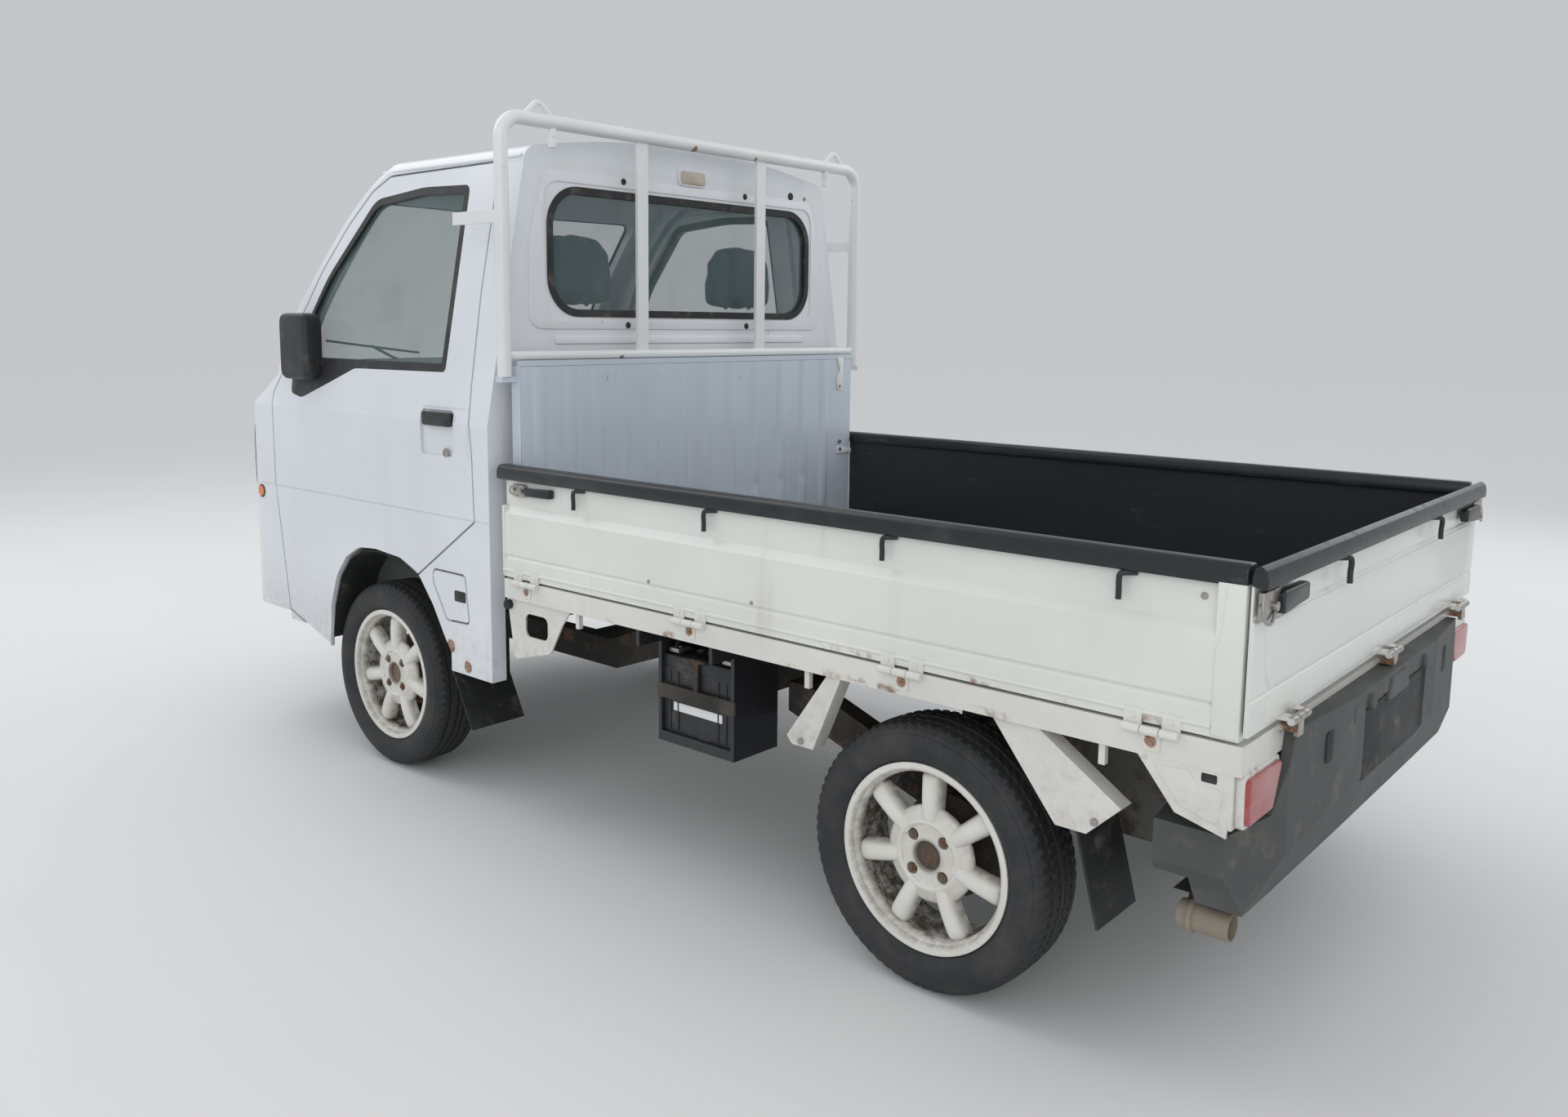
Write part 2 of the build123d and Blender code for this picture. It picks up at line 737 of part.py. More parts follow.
def bed_side():
    """Left sill with its arch stays, skirt, brackets, rope pegs, lamp plate and hinge pins."""
    inner_y = half_width - sill_width
    side = box(bed_rear_x - 8, bed_front_x, inner_y, half_width, sill_bottom_z, sill_top_z)
    for x in PEG_X:
        side += box(x - 6, x + 6, stay_y - 12, stay_y, 563, sill_bottom_z)
    for points in ARCH_STAYS:
        side += along_y(outline(from_x(rear_axle_x, points)), stay_y - 40, stay_y)
    plate = along_y(outline(from_x(bed_front_x, GUARD_PLATE), (0, 10, 20, 20, 0)), stay_y - 5, stay_y)
    plate -= along_y(Pos(bed_front_x - 112.5, 540) * RectangleRounded(90, 60, 18), 600, 900)
    side += plate + along_y(outline(from_x(rear_axle_x, SKIRT)), half_width - 6, half_width - 1)
    edge, top = half_width - 1, sill_bottom_z - seat_gap
    lamp_plate = outline(((edge - 166, top), (edge, top), (edge, 512), (edge - 128, 512)))
    side += along_x(lamp_plate, lamp_x, lamp_x + 6)
    side += box(lamp_x, lamp_x + 6, inner_y + 5, edge, sill_bottom_z - 10, sill_bottom_z)
    for x in GATE_HINGE_X:
        knuckle = disc_x(gate_axis_y, gate_axis_z, knuckle_r, x - 16, x + 16)
        leaf = box(x - 16, x + 16, half_width, half_width + 3, sill_bottom_z + 10, gate_axis_z)
        side += knuckle + leaf + disc_x(gate_axis_y, gate_axis_z, pin_r, x - 49, x + 49)
    return side


def bed_frame():
    """Sills, the cross members between them on two long runners, and the tailgate's hinge pins."""
    side = bed_side()
    left = side + battery_tray()
    half = half_width - sill_width - seat_gap
    rear = box(bed_rear_x - 8, bed_rear_x + 40, -half, half, sill_bottom_z, sill_top_z)
    front = box(bed_front_x - 40, bed_front_x, -half, half, sill_bottom_z, sill_top_z)
    crosses = [box(x - 22, x + 22, -half, half, sill_bottom_z, sill_top_z) for x in CROSS_X]
    top = sill_bottom_z - seat_gap
    runner = box(bed_rear_x + 20, bed_front_x - 20, rail_y - 30, rail_y + 30, rail_top_z, top)
    for y in TAIL_HINGE_Y:
        knuckle = disc_y(tail_axis_x, tail_axis_z, knuckle_r, y - 13, y + 13)
        leaf = box(tail_axis_x - 3, tail_axis_x + 3, y - 13, y + 13, sill_top_z - 10, tail_axis_z)
        foot = box(tail_axis_x - 3, bed_rear_x, y - 13, y + 13, sill_top_z - 10, sill_top_z)
        rear += knuckle + leaf + foot + disc_y(tail_axis_x, tail_axis_z, pin_r, y - 41, y + 41)
    return Compound(children=solids_of(left, other_side(side), rear, front, *crosses, both(runner)))


def headboard():
    """Ribbed sheet behind the cab with its two edge posts."""
    half = half_width - pad_width - door_gap
    sheet = box(headboard_x - 4, headboard_x, -half, half, sill_top_z, headboard_top_z)
    for i in range(10):
        y = -half + (i + 0.5) * 2 * half / 10
        sheet += box(headboard_x - 4, headboard_x + 6, y - 22, y + 22, sill_top_z + 20, headboard_top_z - 12)
    sheet += box(headboard_x - 6, headboard_x + 8, -half, half, headboard_top_z, headboard_top_z + 14)
    outer = half_width - pad_width - door_gap
    foot_z = guard_foot_z
    post = box(headboard_x, headboard_x + 30, outer - 24, outer, sill_top_z, headboard_top_z)
    clamp = box(headboard_x + 4, headboard_x + 30, outer - 24, half_width - 2, foot_z - 14, foot_z)
    return sheet + post + other_side(post) + clamp + other_side(clamp)


def guard_frame():
    """Tube hoop over the headboard, with bars, stubs and rope loops."""
    x = guard_x
    foot_z = guard_foot_z
    hoop = tube_path(
        ((x, -guard_post_y, foot_z), (x, -guard_post_y, guard_top_z), (x, guard_post_y, guard_top_z),
         (x, guard_post_y, foot_z)), 56, guard_tube_r)
    frame = hoop + rod((x, -guard_post_y, guard_low_z), (x, guard_post_y, guard_low_z), 12)
    for y in (-guard_bar_y, guard_bar_y):
        frame += box(x - 5, x + 5, y - 19.5, y + 19.5, guard_low_z, guard_top_z)
    for side in (-1, 1):
        y = side * guard_stub_y
        frame += rod((x, y, guard_top_z), (x, y, guard_top_z - 62), 11)
        y = side * guard_loop_y
        loop = ((x, y - 52, guard_top_z), (x, y, guard_loop_z - 8), (x, y + 52, guard_top_z))
        frame += tube_path(loop, 14, 8)
        y = side * (guard_post_y + 8)
        frame += box(x - 5, x + 190, y - 5, y + 5, 1548, 1580)
    return frame


# Rear end

bumper_skin = 13
plate_hole_y = 105
plate_hole_z = 585
plate_hole_r = 3.5
# Half of the bumper's outline from behind: how far inside the truck's side, and Z
BUMPER_REAR = (
    (192, 640), (181, 600), (143, 500), (49, 480), (47, 409), (97, 330), (297, 290), (half_width, 262),
)


def bumper_rear_x(y):
    """Where the rear bumper's face lies, as it sweeps forward to the sides."""
    return tail_x + max(0, y - 300) / 13


def rear_bumper():
    """Plastic rear bumper with a plate recess and two rubber stops."""
    left = [(half_width - y, z) for y, z in BUMPER_REAR]
    face = outline(left + [(-y, z) for y, z in reversed(left[:-1])])
    front_x, turn_x = tail_x + 197.5, tail_x + 75.5
    block = along_x(face, tail_x, front_x)
    end_y, turn_y = half_width - 47, half_width - 177
    end_x = bumper_rear_x(turn_y)
    plan = outline(((front_x, -end_y), (turn_x, -end_y), (end_x, -turn_y), (tail_x, -300), (tail_x, 300),
                    (end_x, turn_y), (turn_x, end_y), (front_x, end_y)))
    side = outline(((front_x, 650), (tail_x, 650), (tail_x, 470), (tail_x + 57.5, 330), (tail_x + 117.5, 240),
                    (front_x, 240)))
    block = block & along_z(plan, 200, 700) & along_y(side, -900, 900)
    hollow = along_x(grow(face, -bumper_skin), tail_x + bumper_skin, front_x + 100)
    hollow &= Pos(bumper_skin, 0, 0) * (along_z(plan, 200, 700) & along_y(side, -900, 900))
    block -= hollow + box(tail_x + 137.5, front_x + 100, 14 - end_y, end_y - 14, 320, 470)
    block -= box(bed_rear_x - 8.5, front_x + 20, -gate_inner_y, gate_inner_y, sill_bottom_z - 43, 700)
    block -= box(tail_x - 5, tail_x + 6, -215, 215, 445, 605)
    block -= tail_pipe(tail_pipe_r + door_gap)
    for y in (-plate_hole_y, plate_hole_y):
        block -= disc_x(y, plate_hole_z, plate_hole_r, tail_x - 5, tail_x + 37.5)
    return block


def rear_lamps():
    """Two tail lamps and the high brake lamp on the cab's back."""
    edge = half_width - 10
    lamp_top = sill_bottom_z - 3
    face = outline(((edge - 159, lamp_top), (edge, lamp_top), (edge - 5, 514), (edge - 121, 514)), 10)
    left = along_x(face, lamp_x - 20, lamp_x)
    brake = along_x(Pos(0, roof_seam_z + 1.5) * RectangleRounded(110, 46, 12), cab_rear_x - 8, cab_rear_x)
    return Compound(children=solids_of(both(left), brake))


# Ladder frame and driveline


def frame():
    """Two rails with cab mounts and bumper brackets, the cross members between them and the tow eye."""
    profile = from_x(cab_rear_x, (
        (rail_rear_x - cab_rear_x, rail_top_z), (-392.5, rail_top_z), (-32.5, front_rail_top_z),
        (rail_front_x - cab_rear_x, front_rail_top_z), (rail_front_x - cab_rear_x, front_rail_low_z),
        (-57.5, front_rail_low_z), (-412.5, rail_top_z - rail_height),
        (rail_rear_x - cab_rear_x, rail_top_z - rail_height),
    ))
    y0 = rail_y - rail_width / 2
    rail = along_y(outline(profile), y0, y0 + rail_width)
    inner = bumper_skin + seat_gap
    near, far = rail_y - 20, rail_y + 20
    plan = outline(((bumper_rear_x(near) + inner, near), (bumper_rear_x(far) + inner, far),
                    (rail_rear_x, far), (rail_rear_x, near)))
    rail += along_z(plan, rail_top_z - 75, rail_top_z - 15)
    for x in (front_axle_x + 57.5, front_axle_x + 507.5):
        top = footwell_z - floor_thick - seat_gap
        rail += box(x - 30, x + 30, rail_y - 20, rail_y + 20, front_rail_top_z, top)
    y1 = rail_y + tow_plate / 2
    tow = ((-40, 345), (55, 345), (55, 300), (15, 285), (-40, 335))
    tow = along_y(outline(from_x(rail_front_x, tow), (0, 8, 20, 20, 0)), y1 - tow_plate, y1)
    tow -= disc_y(*tow_at, tow_r, y1 - 50, y1 + 50)
    half = y0 - seat_gap
    crosses = []
    for x in (rail_rear_x + 95, rear_axle_x + 342.5, rear_axle_x + 762.5):
        crosses.append(box(x - 25, x + 25, -half, half, rail_top_z - 70, rail_top_z - 5))
    for x in (cab_rear_x + 87.5, front_axle_x, rail_front_x - 40):
        crosses.append(box(x - 30, x + 30, -half, half, front_rail_low_z + 5, front_rail_top_z - 10))
    return Compound(children=solids_of(rail + tow, other_side(rail), *crosses))


def engine():
    """Engine as one plain block behind the rear axle, with the gearbox and the drive shafts."""
    x = rear_axle_x
    block = box(x - 437.5, x - 147.5, -60, 300, 262, 500)
    case = box(x - 147.5, x + 142.5, -130, 130, 250, 450)
    shaft = disc_y(rear_axle_x, tyre_r, shaft_end_r, 130, hub_inner_y)
    return block + case + shaft + other_side(shaft)


hub_inner_y = half_width - 217
disc_r = 105
shaft_end_r = 15
spring_at = (rear_axle_x + 32.5, 445)
spring_foot_z = 324


def rear_suspension():
    """Left trailing arm with its brake drum, wheel hub and spring."""
    hub_x, drum_y = rear_axle_x, hub_inner_y + 90
    side = ((482.5, 470), (542.5, 470), (542.5, 400), (62.5, 240), (-17.5, 240), (-17.5, 300), (62.5, 320))
    arm = along_y(outline(from_x(hub_x, side)), 420, 470)
    arm += box(hub_x - 57.5, hub_x + 57.5, 420, hub_inner_y, 235, 310)
    arm += disc_y(hub_x, tyre_r, disc_r, hub_inner_y, drum_y)
    arm += disc_y(hub_x, tyre_r, 62, drum_y, rim_face_y() - 1)
    arm += disc_y(hub_x, tyre_r, stub_r, drum_y, rim_face_y() + 20)
    arm -= disc_y(hub_x, tyre_r, shaft_end_r + seat_gap, 130, hub_inner_y + 10)
    arm += box(hub_x + 482.5, hub_x + 542.5, rail_y + rail_width / 2 + seat_gap, 470, 410, 470)
    x, y = spring_at
    arm += box(x - 45, x + 50, y - 45, y + 45, spring_foot_z - 24, spring_foot_z)
    arm += along_z(Pos(x, y) * Circle(40), spring_foot_z, sill_bottom_z - seat_gap)
    return arm


def rim_face_y():
    """Where the rim's hub sits on the vehicle's hub."""
    return wheel_mid_y + 18


def kingpin_at(z):
    """Point of the left steering axis, in Y and Z, at a height."""
    share = (z - kingpin_low[1]) / (kingpin_high[1] - kingpin_low[1])
    return kingpin_low[0] + share * (kingpin_high[0] - kingpin_low[0]), z


def knuckle():
    """Left front upright: strut, disc, hub and stub."""
    x = front_axle_x
    y = kingpin_low[0]
    strut = rod((x, *kingpin_low), (x, *kingpin_at(strut_top_z)), strut_r)
    lower = box(x - 24, x + 24, y - 36, y - 6, 190, 340)
    disc = disc_y(x, tyre_r, disc_r, y - 2, y + 10)
    hub = disc_y(x, tyre_r, 40, y - 16, rim_face_y() - 1)
    hub += disc_y(x, tyre_r, 62, y + 24, rim_face_y() - 1)
    stub = disc_y(x, tyre_r, stub_r, y + 24, rim_face_y() + 20)
    arm = box(x - 110, x - 20, y - 46, y - 24, 200, 220)
    body = strut + lower + disc + hub + stub + arm
    return body - rod((x, *kingpin_at(140)), (x, *kingpin_at(192)), ball_r + seat_gap)


def front_arm():
    """Left lower arm with the ball pin that carries the knuckle."""
    x = front_axle_x
    tip = kingpin_low[0] + 18
    arm = along_z(outline(((x - 20, tip), (x + 20, tip), (x + 60, 300), (x - 60, 300))), 136, 154)
    arm += box(x - 45, x + 45, 305, 340, 136, front_rail_low_z - seat_gap)
    return arm + rod((x, *kingpin_at(145)), (x, *kingpin_at(190)), ball_r)


def suspension():
    """Front lower arms and rear trailing arms with the springs."""
    return Compound(children=solids_of(both(front_arm()), both(rear_suspension())))


# Wheels


def tyre():
    """Tyre about the Y axis, its middle at the origin."""
    half = tyre_width / 2
    bead = rim_width / 2 - rim_lip - seat_gap
    inside, lip = rim_r + seat_gap, rim_lip_r + 1
    line = Curve() + [
        Line((inside, -bead), (inside, bead)),
        Line((inside, bead), (lip, bead)),
        ThreePointArc((lip, bead), (rim_r + 46, half), (tyre_r - 18, half - 10)),
        ThreePointArc((tyre_r - 18, half - 10), (tyre_r - 5, half - 18), (tyre_r, half - 32)),
        Line((tyre_r, half - 32), (tyre_r, -half + 32)),
        ThreePointArc((tyre_r, -half + 32), (tyre_r - 5, -half + 18), (tyre_r - 18, -half + 10)),
        ThreePointArc((tyre_r - 18, -half + 10), (rim_r + 46, -half), (lip, -bead)),
        Line((lip, -bead), (inside, -bead)),
    ]
    return revolve(make_face(line), Axis.Y)


def rim():
    """Alloy rim about the Y axis: barrel, lips, seven rounded spokes and hub."""
    half = rim_width / 2
    bead = half - rim_lip
    barrel = outline((
        (rim_r - rim_wall, -half), (rim_lip_r, -half), (rim_lip_r, -bead), (rim_r, -bead),
        (rim_r, bead), (rim_lip_r, bead), (rim_lip_r, half), (rim_r - rim_wall, half),
    ))
    body = revolve(barrel, Axis.Y)
    y0 = 18
    hub = along_y(Circle(hub_face_r), y0, y0 + 26)
    spoke = Pos((hub_face_r + rim_r) / 2 - 4, 0) * SlotOverall(rim_r - hub_face_r + 6, spoke_width)
    spoke = along_y(spoke, y0 + 6, y0 + 30)
    spoke = chamfer(spoke.faces().sort_by(Axis.Y)[-1].edges(), 8)
    for i in range(spoke_count):
        hub += Rot(0, i * 360 / spoke_count, 0) * spoke
    body += hub
    body -= along_y(Circle(rim_bore_r), -50, 100)
    for i in range(4):
        body -= Rot(0, 45 + i * 90, 0) * along_y(Pos(lug_circle_r, 0) * Circle(lug_r), y0 + 12, 100)
    return body


def place_wheel(shape, x, left):
    """A wheel piece at its hub."""
    shape = Pos(0, wheel_mid_y, 0) * shape
    if not left:
        shape = other_side(shape)
    return Pos(x, 0, tyre_r) * shape


# Underneath and odd pieces


tail_pipe_r = 19


def tail_pipe(radius):
    """The exhaust's tail pipe."""
    x = rear_axle_x - 487.5
    points = ((x, 390, 345), (x, half_width - 217, 315), (x - 15, half_width - 137, 285))
    return tube_path(points, 40, radius)


def exhaust():
    """Silencer and tail pipe at the left rear."""
    front = rear_axle_x - 442.5
    can = box(front - 90, front, -200, 400, 325, 425)
    can += box(front, front + 5 - seat_gap, 60, 200, 340, 410)
    return can + tail_pipe(tail_pipe_r)


def fuel_tank():
    """Tank between the rails."""
    half = rail_y - rail_width / 2
    return box(cab_rear_x - 522.5, cab_rear_x - 232.5, -half, half, 330, 470)


battery_x = rear_axle_x + 552.5
battery_y = half_width - 217
battery_long = 224
battery_wide = 130
tray_wall = 10


def battery():
    """Battery in its tray on the left."""
    low = 345 + seat_gap
    return box(battery_x + seat_gap, battery_x + battery_long - seat_gap, battery_y, battery_y + battery_wide,
               low, 530)


def battery_tray():
    """Angle tray that hangs the battery from the sill's cross member."""
    x0, x1 = battery_x, battery_x + battery_long
    y0, y1 = battery_y - tray_wall, battery_y + battery_wide + tray_wall
    top, sill_y = sill_bottom_z - seat_gap, half_width - sill_width + 5
    tray = box(x0 - tray_wall, x1 + tray_wall, y0, y1, 321, 345)
    for x in (x0 - tray_wall, x1):
        tray += box(x, x + tray_wall, y0, y1, 345, top)
        tray += box(x, x + tray_wall, y1, half_width - 6, top - 40, top)
        tray += box(x, x + tray_wall, sill_y, half_width - 6, top - 40, sill_bottom_z)
    return tray


def mud_flaps():
    """Four hanging flaps."""
    x, z = front_axle_x + ARCH_POINTS[0][0] + seat_gap, cab_bottom_z
    front = outline(((x, z + 40), (x + 5, z + 40), (x + 5, z), (x - 78, 210), (x - 83, 210), (x, z)))
    front = along_y(front, half_width - 177, half_width - 4)
    rear = ((-331.5, 432), (-336.5, 432), (-381.5, 262), (-376.5, 262))
    rear = along_y(outline(from_x(rear_axle_x, rear)), half_width - 167, stay_y - 3)
    return Compound(children=solids_of(both(front), both(rear)))


def build():
    """All pieces by node name."""
    roof, back, sides, front, bumper = cab_pieces()
    front -= lamp_box() + other_side(lamp_box())
    front -= grille_cut()
    parts = {
        "frame": frame(),
        "cab_floor": cab_floor(),
        "cab_front": front,
        "cab_roof": roof,
        "cab_back": back,
        "cab_sides": sides,
        "front_bumper": bumper,
        "cab_glass": cab_glass(),
        "rear_gasket": rear_gasket(),
        "dash": dash() + steering_column(),
        "seats": seats(),
        "front_lamps": front_lamps(),
        "bed_floor": bed_floor(),
        "bed_frame": bed_frame(),
        "headboard": headboard(),
        "guard_frame": guard_frame(),
        "rear_lamps": rear_lamps(),
        "rear_bumper": rear_bumper(),
        "mud_flaps": mud_flaps(),
        "battery": battery(),
        "fuel_tank": fuel_tank(),
        "engine": engine(),
        "exhaust": exhaust(),
        "suspension": suspension(),
        "fuel_lid": fuel_lid(),
        "steering_wheel": steering_wheel(),
        "tailgate": tailgate(),
        "tailgate_trim": tailgate_trim(),
    }
    left_pieces = {
        "door": door_panel(), "door_glass": door_glass(), "door_trim": door_trim(),
        "side_gate": side_gate(), "side_gate_trim": side_gate_trim(), "knuckle": knuckle(),
    }
    for name, shape in left_pieces.items():
        parts[name + "_l"] = shape
        parts[name + "_r"] = other_side(shape)
    rubber, alloy = tyre(), rim()
    for place, x, left in (("fl", front_axle_x, True), ("fr", front_axle_x, False),
                           ("rl", rear_axle_x, True), ("rr", rear_axle_x, False)):
        parts["tyre_" + place] = place_wheel(rubber, x, left)
        parts["rim_" + place] = place_wheel(alloy, x, left)
    return parts


os.makedirs("parts", exist_ok=True)
for node, piece in build().items():
    export_step(piece, "parts/" + node + ".step")
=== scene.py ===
import math
from functools import reduce

import bpy
from mathutils import Matrix, Vector


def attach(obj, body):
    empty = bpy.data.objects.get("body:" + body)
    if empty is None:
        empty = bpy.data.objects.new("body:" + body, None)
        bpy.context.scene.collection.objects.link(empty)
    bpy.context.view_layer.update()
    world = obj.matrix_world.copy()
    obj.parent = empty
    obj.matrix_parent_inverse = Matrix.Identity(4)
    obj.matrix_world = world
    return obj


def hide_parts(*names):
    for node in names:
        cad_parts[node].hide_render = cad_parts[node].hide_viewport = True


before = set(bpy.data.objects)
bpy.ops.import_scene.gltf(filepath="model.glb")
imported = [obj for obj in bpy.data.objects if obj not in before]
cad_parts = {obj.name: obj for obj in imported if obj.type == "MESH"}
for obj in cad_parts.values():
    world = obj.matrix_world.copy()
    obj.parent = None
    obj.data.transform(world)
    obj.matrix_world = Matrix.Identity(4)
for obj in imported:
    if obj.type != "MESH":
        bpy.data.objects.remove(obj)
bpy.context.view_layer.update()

bl_info = {
    "name": "Kei truck",
    "version": (1, 0, 0),
    "blender": (4, 5, 0),
    "location": "View3D > Sidebar > Kei truck",
    "description": "Dresses a small cab-over pickup with a drop-side bed",
    "category": "Object",
}

MM = 0.001
# Places in metres, repeated from the part's source: +X forward, +Y left, +Z up
FRONT_AXLE = 0.8425
REAR_AXLE = -1.0425
AXLE_Z = 0.272
WHEEL_Y = 0.6405
HALF_WIDTH = 0.737
CAB_BACK = 0.2925
TAIL_X = -1.6975
TAIL_PAD_X = -1.6825
GATE_TOP = 0.911
PAD_TOP = 0.9436
GATE_HINGES = (0.1405, -0.4375, -1.0085, -1.5095)
TAIL_HINGES = (-0.56, 0.0, 0.56)
HOOKS = (-0.0455, -0.4805, -0.9565, -1.4405)
HOOK_R = 0.0052
# Hinge axis of the side gates in y and z, and of the tailgate in x and z
GATE_AXIS = (0.745, 0.648)
TAIL_AXIS = (-1.686, 0.668)
# Middle of a side marker in x and z, and of the exhaust's end in y and z
MARKER = (1.5035, 0.757)
EXHAUST = (0.598, 0.285)
# Recess behind a door handle: its ranges of x and z and its depth
HANDLE_RECESS = ((0.382, 0.585), (0.948, 1.072), 0.003)
# Wheel bolts in x and z from the wheel's middle
BOLT_ANGLES = [math.radians(45 + 90 * i) for i in range(4)]
WHEEL_BOLTS = [(0.05 * math.sin(a), 0.05 * math.cos(a)) for a in BOLT_ANGLES]
ROOTS = ("root", "root")
DOORS = ("door_l", "door_r")
GATES = ("side_gate_l", "side_gate_r")
WHEELS = {
    "fl": (FRONT_AXLE, 1), "fr": (FRONT_AXLE, -1), "rl": (REAR_AXLE, 1), "rr": (REAR_AXLE, -1),
}


# Shader maths


class Socket:
    """One output of a shader node that can stand in a Python expression."""

    def __init__(self, look, out):
        self.look = look
        self.out = out

    def math(self, operation, a, b):
        return self.look.node("ShaderNodeMath", {"operation": operation}, {0: a, 1: b})

    def __add__(self, other):
        return self.math("ADD", self, other)

    __radd__ = __add__

    def __sub__(self, other):
        return self.math("SUBTRACT", self, other)

    def __rsub__(self, other):
        return self.math("SUBTRACT", other, self)

    def __mul__(self, other):
        return self.math("MULTIPLY", self, other)

    __rmul__ = __mul__

    def __pow__(self, other):
        return self.math("POWER", self, other)

    def __abs__(self):
        return self.math("ABSOLUTE", self, 0)

    def most(self, other):
        """The larger of two values."""
        return self.math("MAXIMUM", self, other)

    def least(self, other):
        """The smaller of two values."""
        return self.math("MINIMUM", self, other)

    def sine(self):
        """Wave of a value in radians."""
        return self.look.node("ShaderNodeMath", {"operation": "SINE"}, {0: self})

    def ramp(self, low, high):
        """0 up to low, 1 from high on, and a smooth step between; high may be the smaller."""
        settings = {"interpolation_type": "SMOOTHSTEP", "clamp": True}
        if low > high:
            return 1 - self.ramp(high, low)
        return self.look.node("ShaderNodeMapRange", settings, {0: self, 1: low, 2: high})

    def band(self, middle, half, soft):
        """1 within half of the middle, fading over soft."""
        return abs(self - middle).ramp(half + soft, half)


class Look:
    """A finish made of nodes around one Principled shader."""

    def __init__(self, name, **constants):
        self.material = bpy.data.materials.new(name)
        self.material.use_nodes = True
        self.tree = self.material.node_tree
        self.tree.nodes.clear()
        self.shader = self.tree.nodes.new("ShaderNodeBsdfPrincipled")
        self.end = self.tree.nodes.new("ShaderNodeOutputMaterial")
        self.tree.links.new(self.shader.outputs[0], self.end.inputs[0])
        self.place = self.node("ShaderNodeTexCoord", {}, {}, "Object")
        for axis in "xyz":
            setattr(self, axis, self.node("ShaderNodeSeparateXYZ", {}, {0: self.place}, axis.upper()))
        for socket, value in constants.items():
            self.set(socket.replace("_", " "), value)

    def node(self, kind, settings, inputs, output=0):
        """Adds a node: its settings first, then its sockets' values or links."""
        made = self.tree.nodes.new(kind)
        for name, value in settings.items():
            if name == "stops":
                ramp = made.color_ramp
                while len(ramp.elements) < len(value):
                    ramp.elements.new(0.5)
                for element, (at, color) in zip(ramp.elements, value):
                    element.position = at
                    element.color = (*color, 1)
            else:
                setattr(made, name, value)
        for key, value in inputs.items():
            self.feed(made.inputs[key], value)
        return Socket(self, made.outputs[output])

    def feed(self, socket, value):
        """A link or a plain value into one socket."""
        if isinstance(value, Socket):
            self.tree.links.new(value.out, socket)
        elif isinstance(value, tuple) and len(value) == 3 and socket.type == "RGBA":
            socket.default_value = (*value, 1)
        else:
            socket.default_value = value

    def set(self, socket, value):
        """Feeds a socket of the shader."""
        self.feed(self.shader.inputs[socket], value)

    def noise(self, scale, detail=3.0, stretch=(1, 1, 1), roughness=0.55):
        """Cloudy pattern from 0 to 1, stretched along the axes."""
        where = self.node("ShaderNodeVectorMath", {"operation": "MULTIPLY"}, {0: self.place, 1: stretch})
        return self.node("ShaderNodeTexNoise", {}, {"Vector": where, "Scale": scale, "Detail": detail,
                                                    "Roughness": roughness}, "Fac")

    def cells(self, scale, stretch=(1, 1, 1)):
        """Distance to the nearest of many scattered points."""
        where = self.node("ShaderNodeVectorMath", {"operation": "MULTIPLY"}, {0: self.place, 1: stretch})
        return self.node("ShaderNodeTexVoronoi", {}, {"Vector": where, "Scale": scale}, "Distance")

    def near(self, point, reach):
        """1 at a point, 0 from reach on."""
        gap = self.node("ShaderNodeVectorMath", {"operation": "DISTANCE"}, {0: self.place, 1: point}, "Value")
        return gap.ramp(reach, 0)

    def facing(self, blend):
        """0 where a face looks straight out, 1 at its edge."""
        return self.node("ShaderNodeLayerWeight", {}, {"Blend": blend}, "Facing")

    def room(self, soft=0.004, **spans):
        """1 between the given ranges of x, y or z, 0 outside."""
        inside = 1
        for axis, (low, high) in spans.items():
            inside = inside * getattr(self, axis).band((low + high) / 2, (high - low) / 2, soft)
        return inside

    def mix(self, factor, a, b):
        """Colour a where factor is 0 and b where it is 1."""
        return self.node("ShaderNodeMix", {"data_type": "RGBA"}, {0: factor, 6: a, 7: b}, 2)

    def bump(self, height, strength, depth):
        """Relief from a height, depth in metres."""
        self.set("Normal", self.node("ShaderNodeBump", {}, {"Height": height, "Strength": strength,
                                                            "Distance": depth}))

    def finish(self, color, roughness, height, strength, depth):
        """Feeds colour, roughness and relief, and gives the material."""
        self.set("Base Color", color)
        self.set("Roughness", roughness)
        self.bump(height, strength, depth)
        return self.material


RUST = (0.15, 0.068, 0.035)
RUST_PALE = (0.33, 0.205, 0.125)
DUST = (0.36, 0.32, 0.27)
BARE = (0.045, 0.045, 0.05)
BLACK = (0.018, 0.018, 0.021)


def shade(color, gain, lift=0.0):
    """A colour made lighter or darker."""
    return tuple(min(1, lift + gain * c) for c in color)


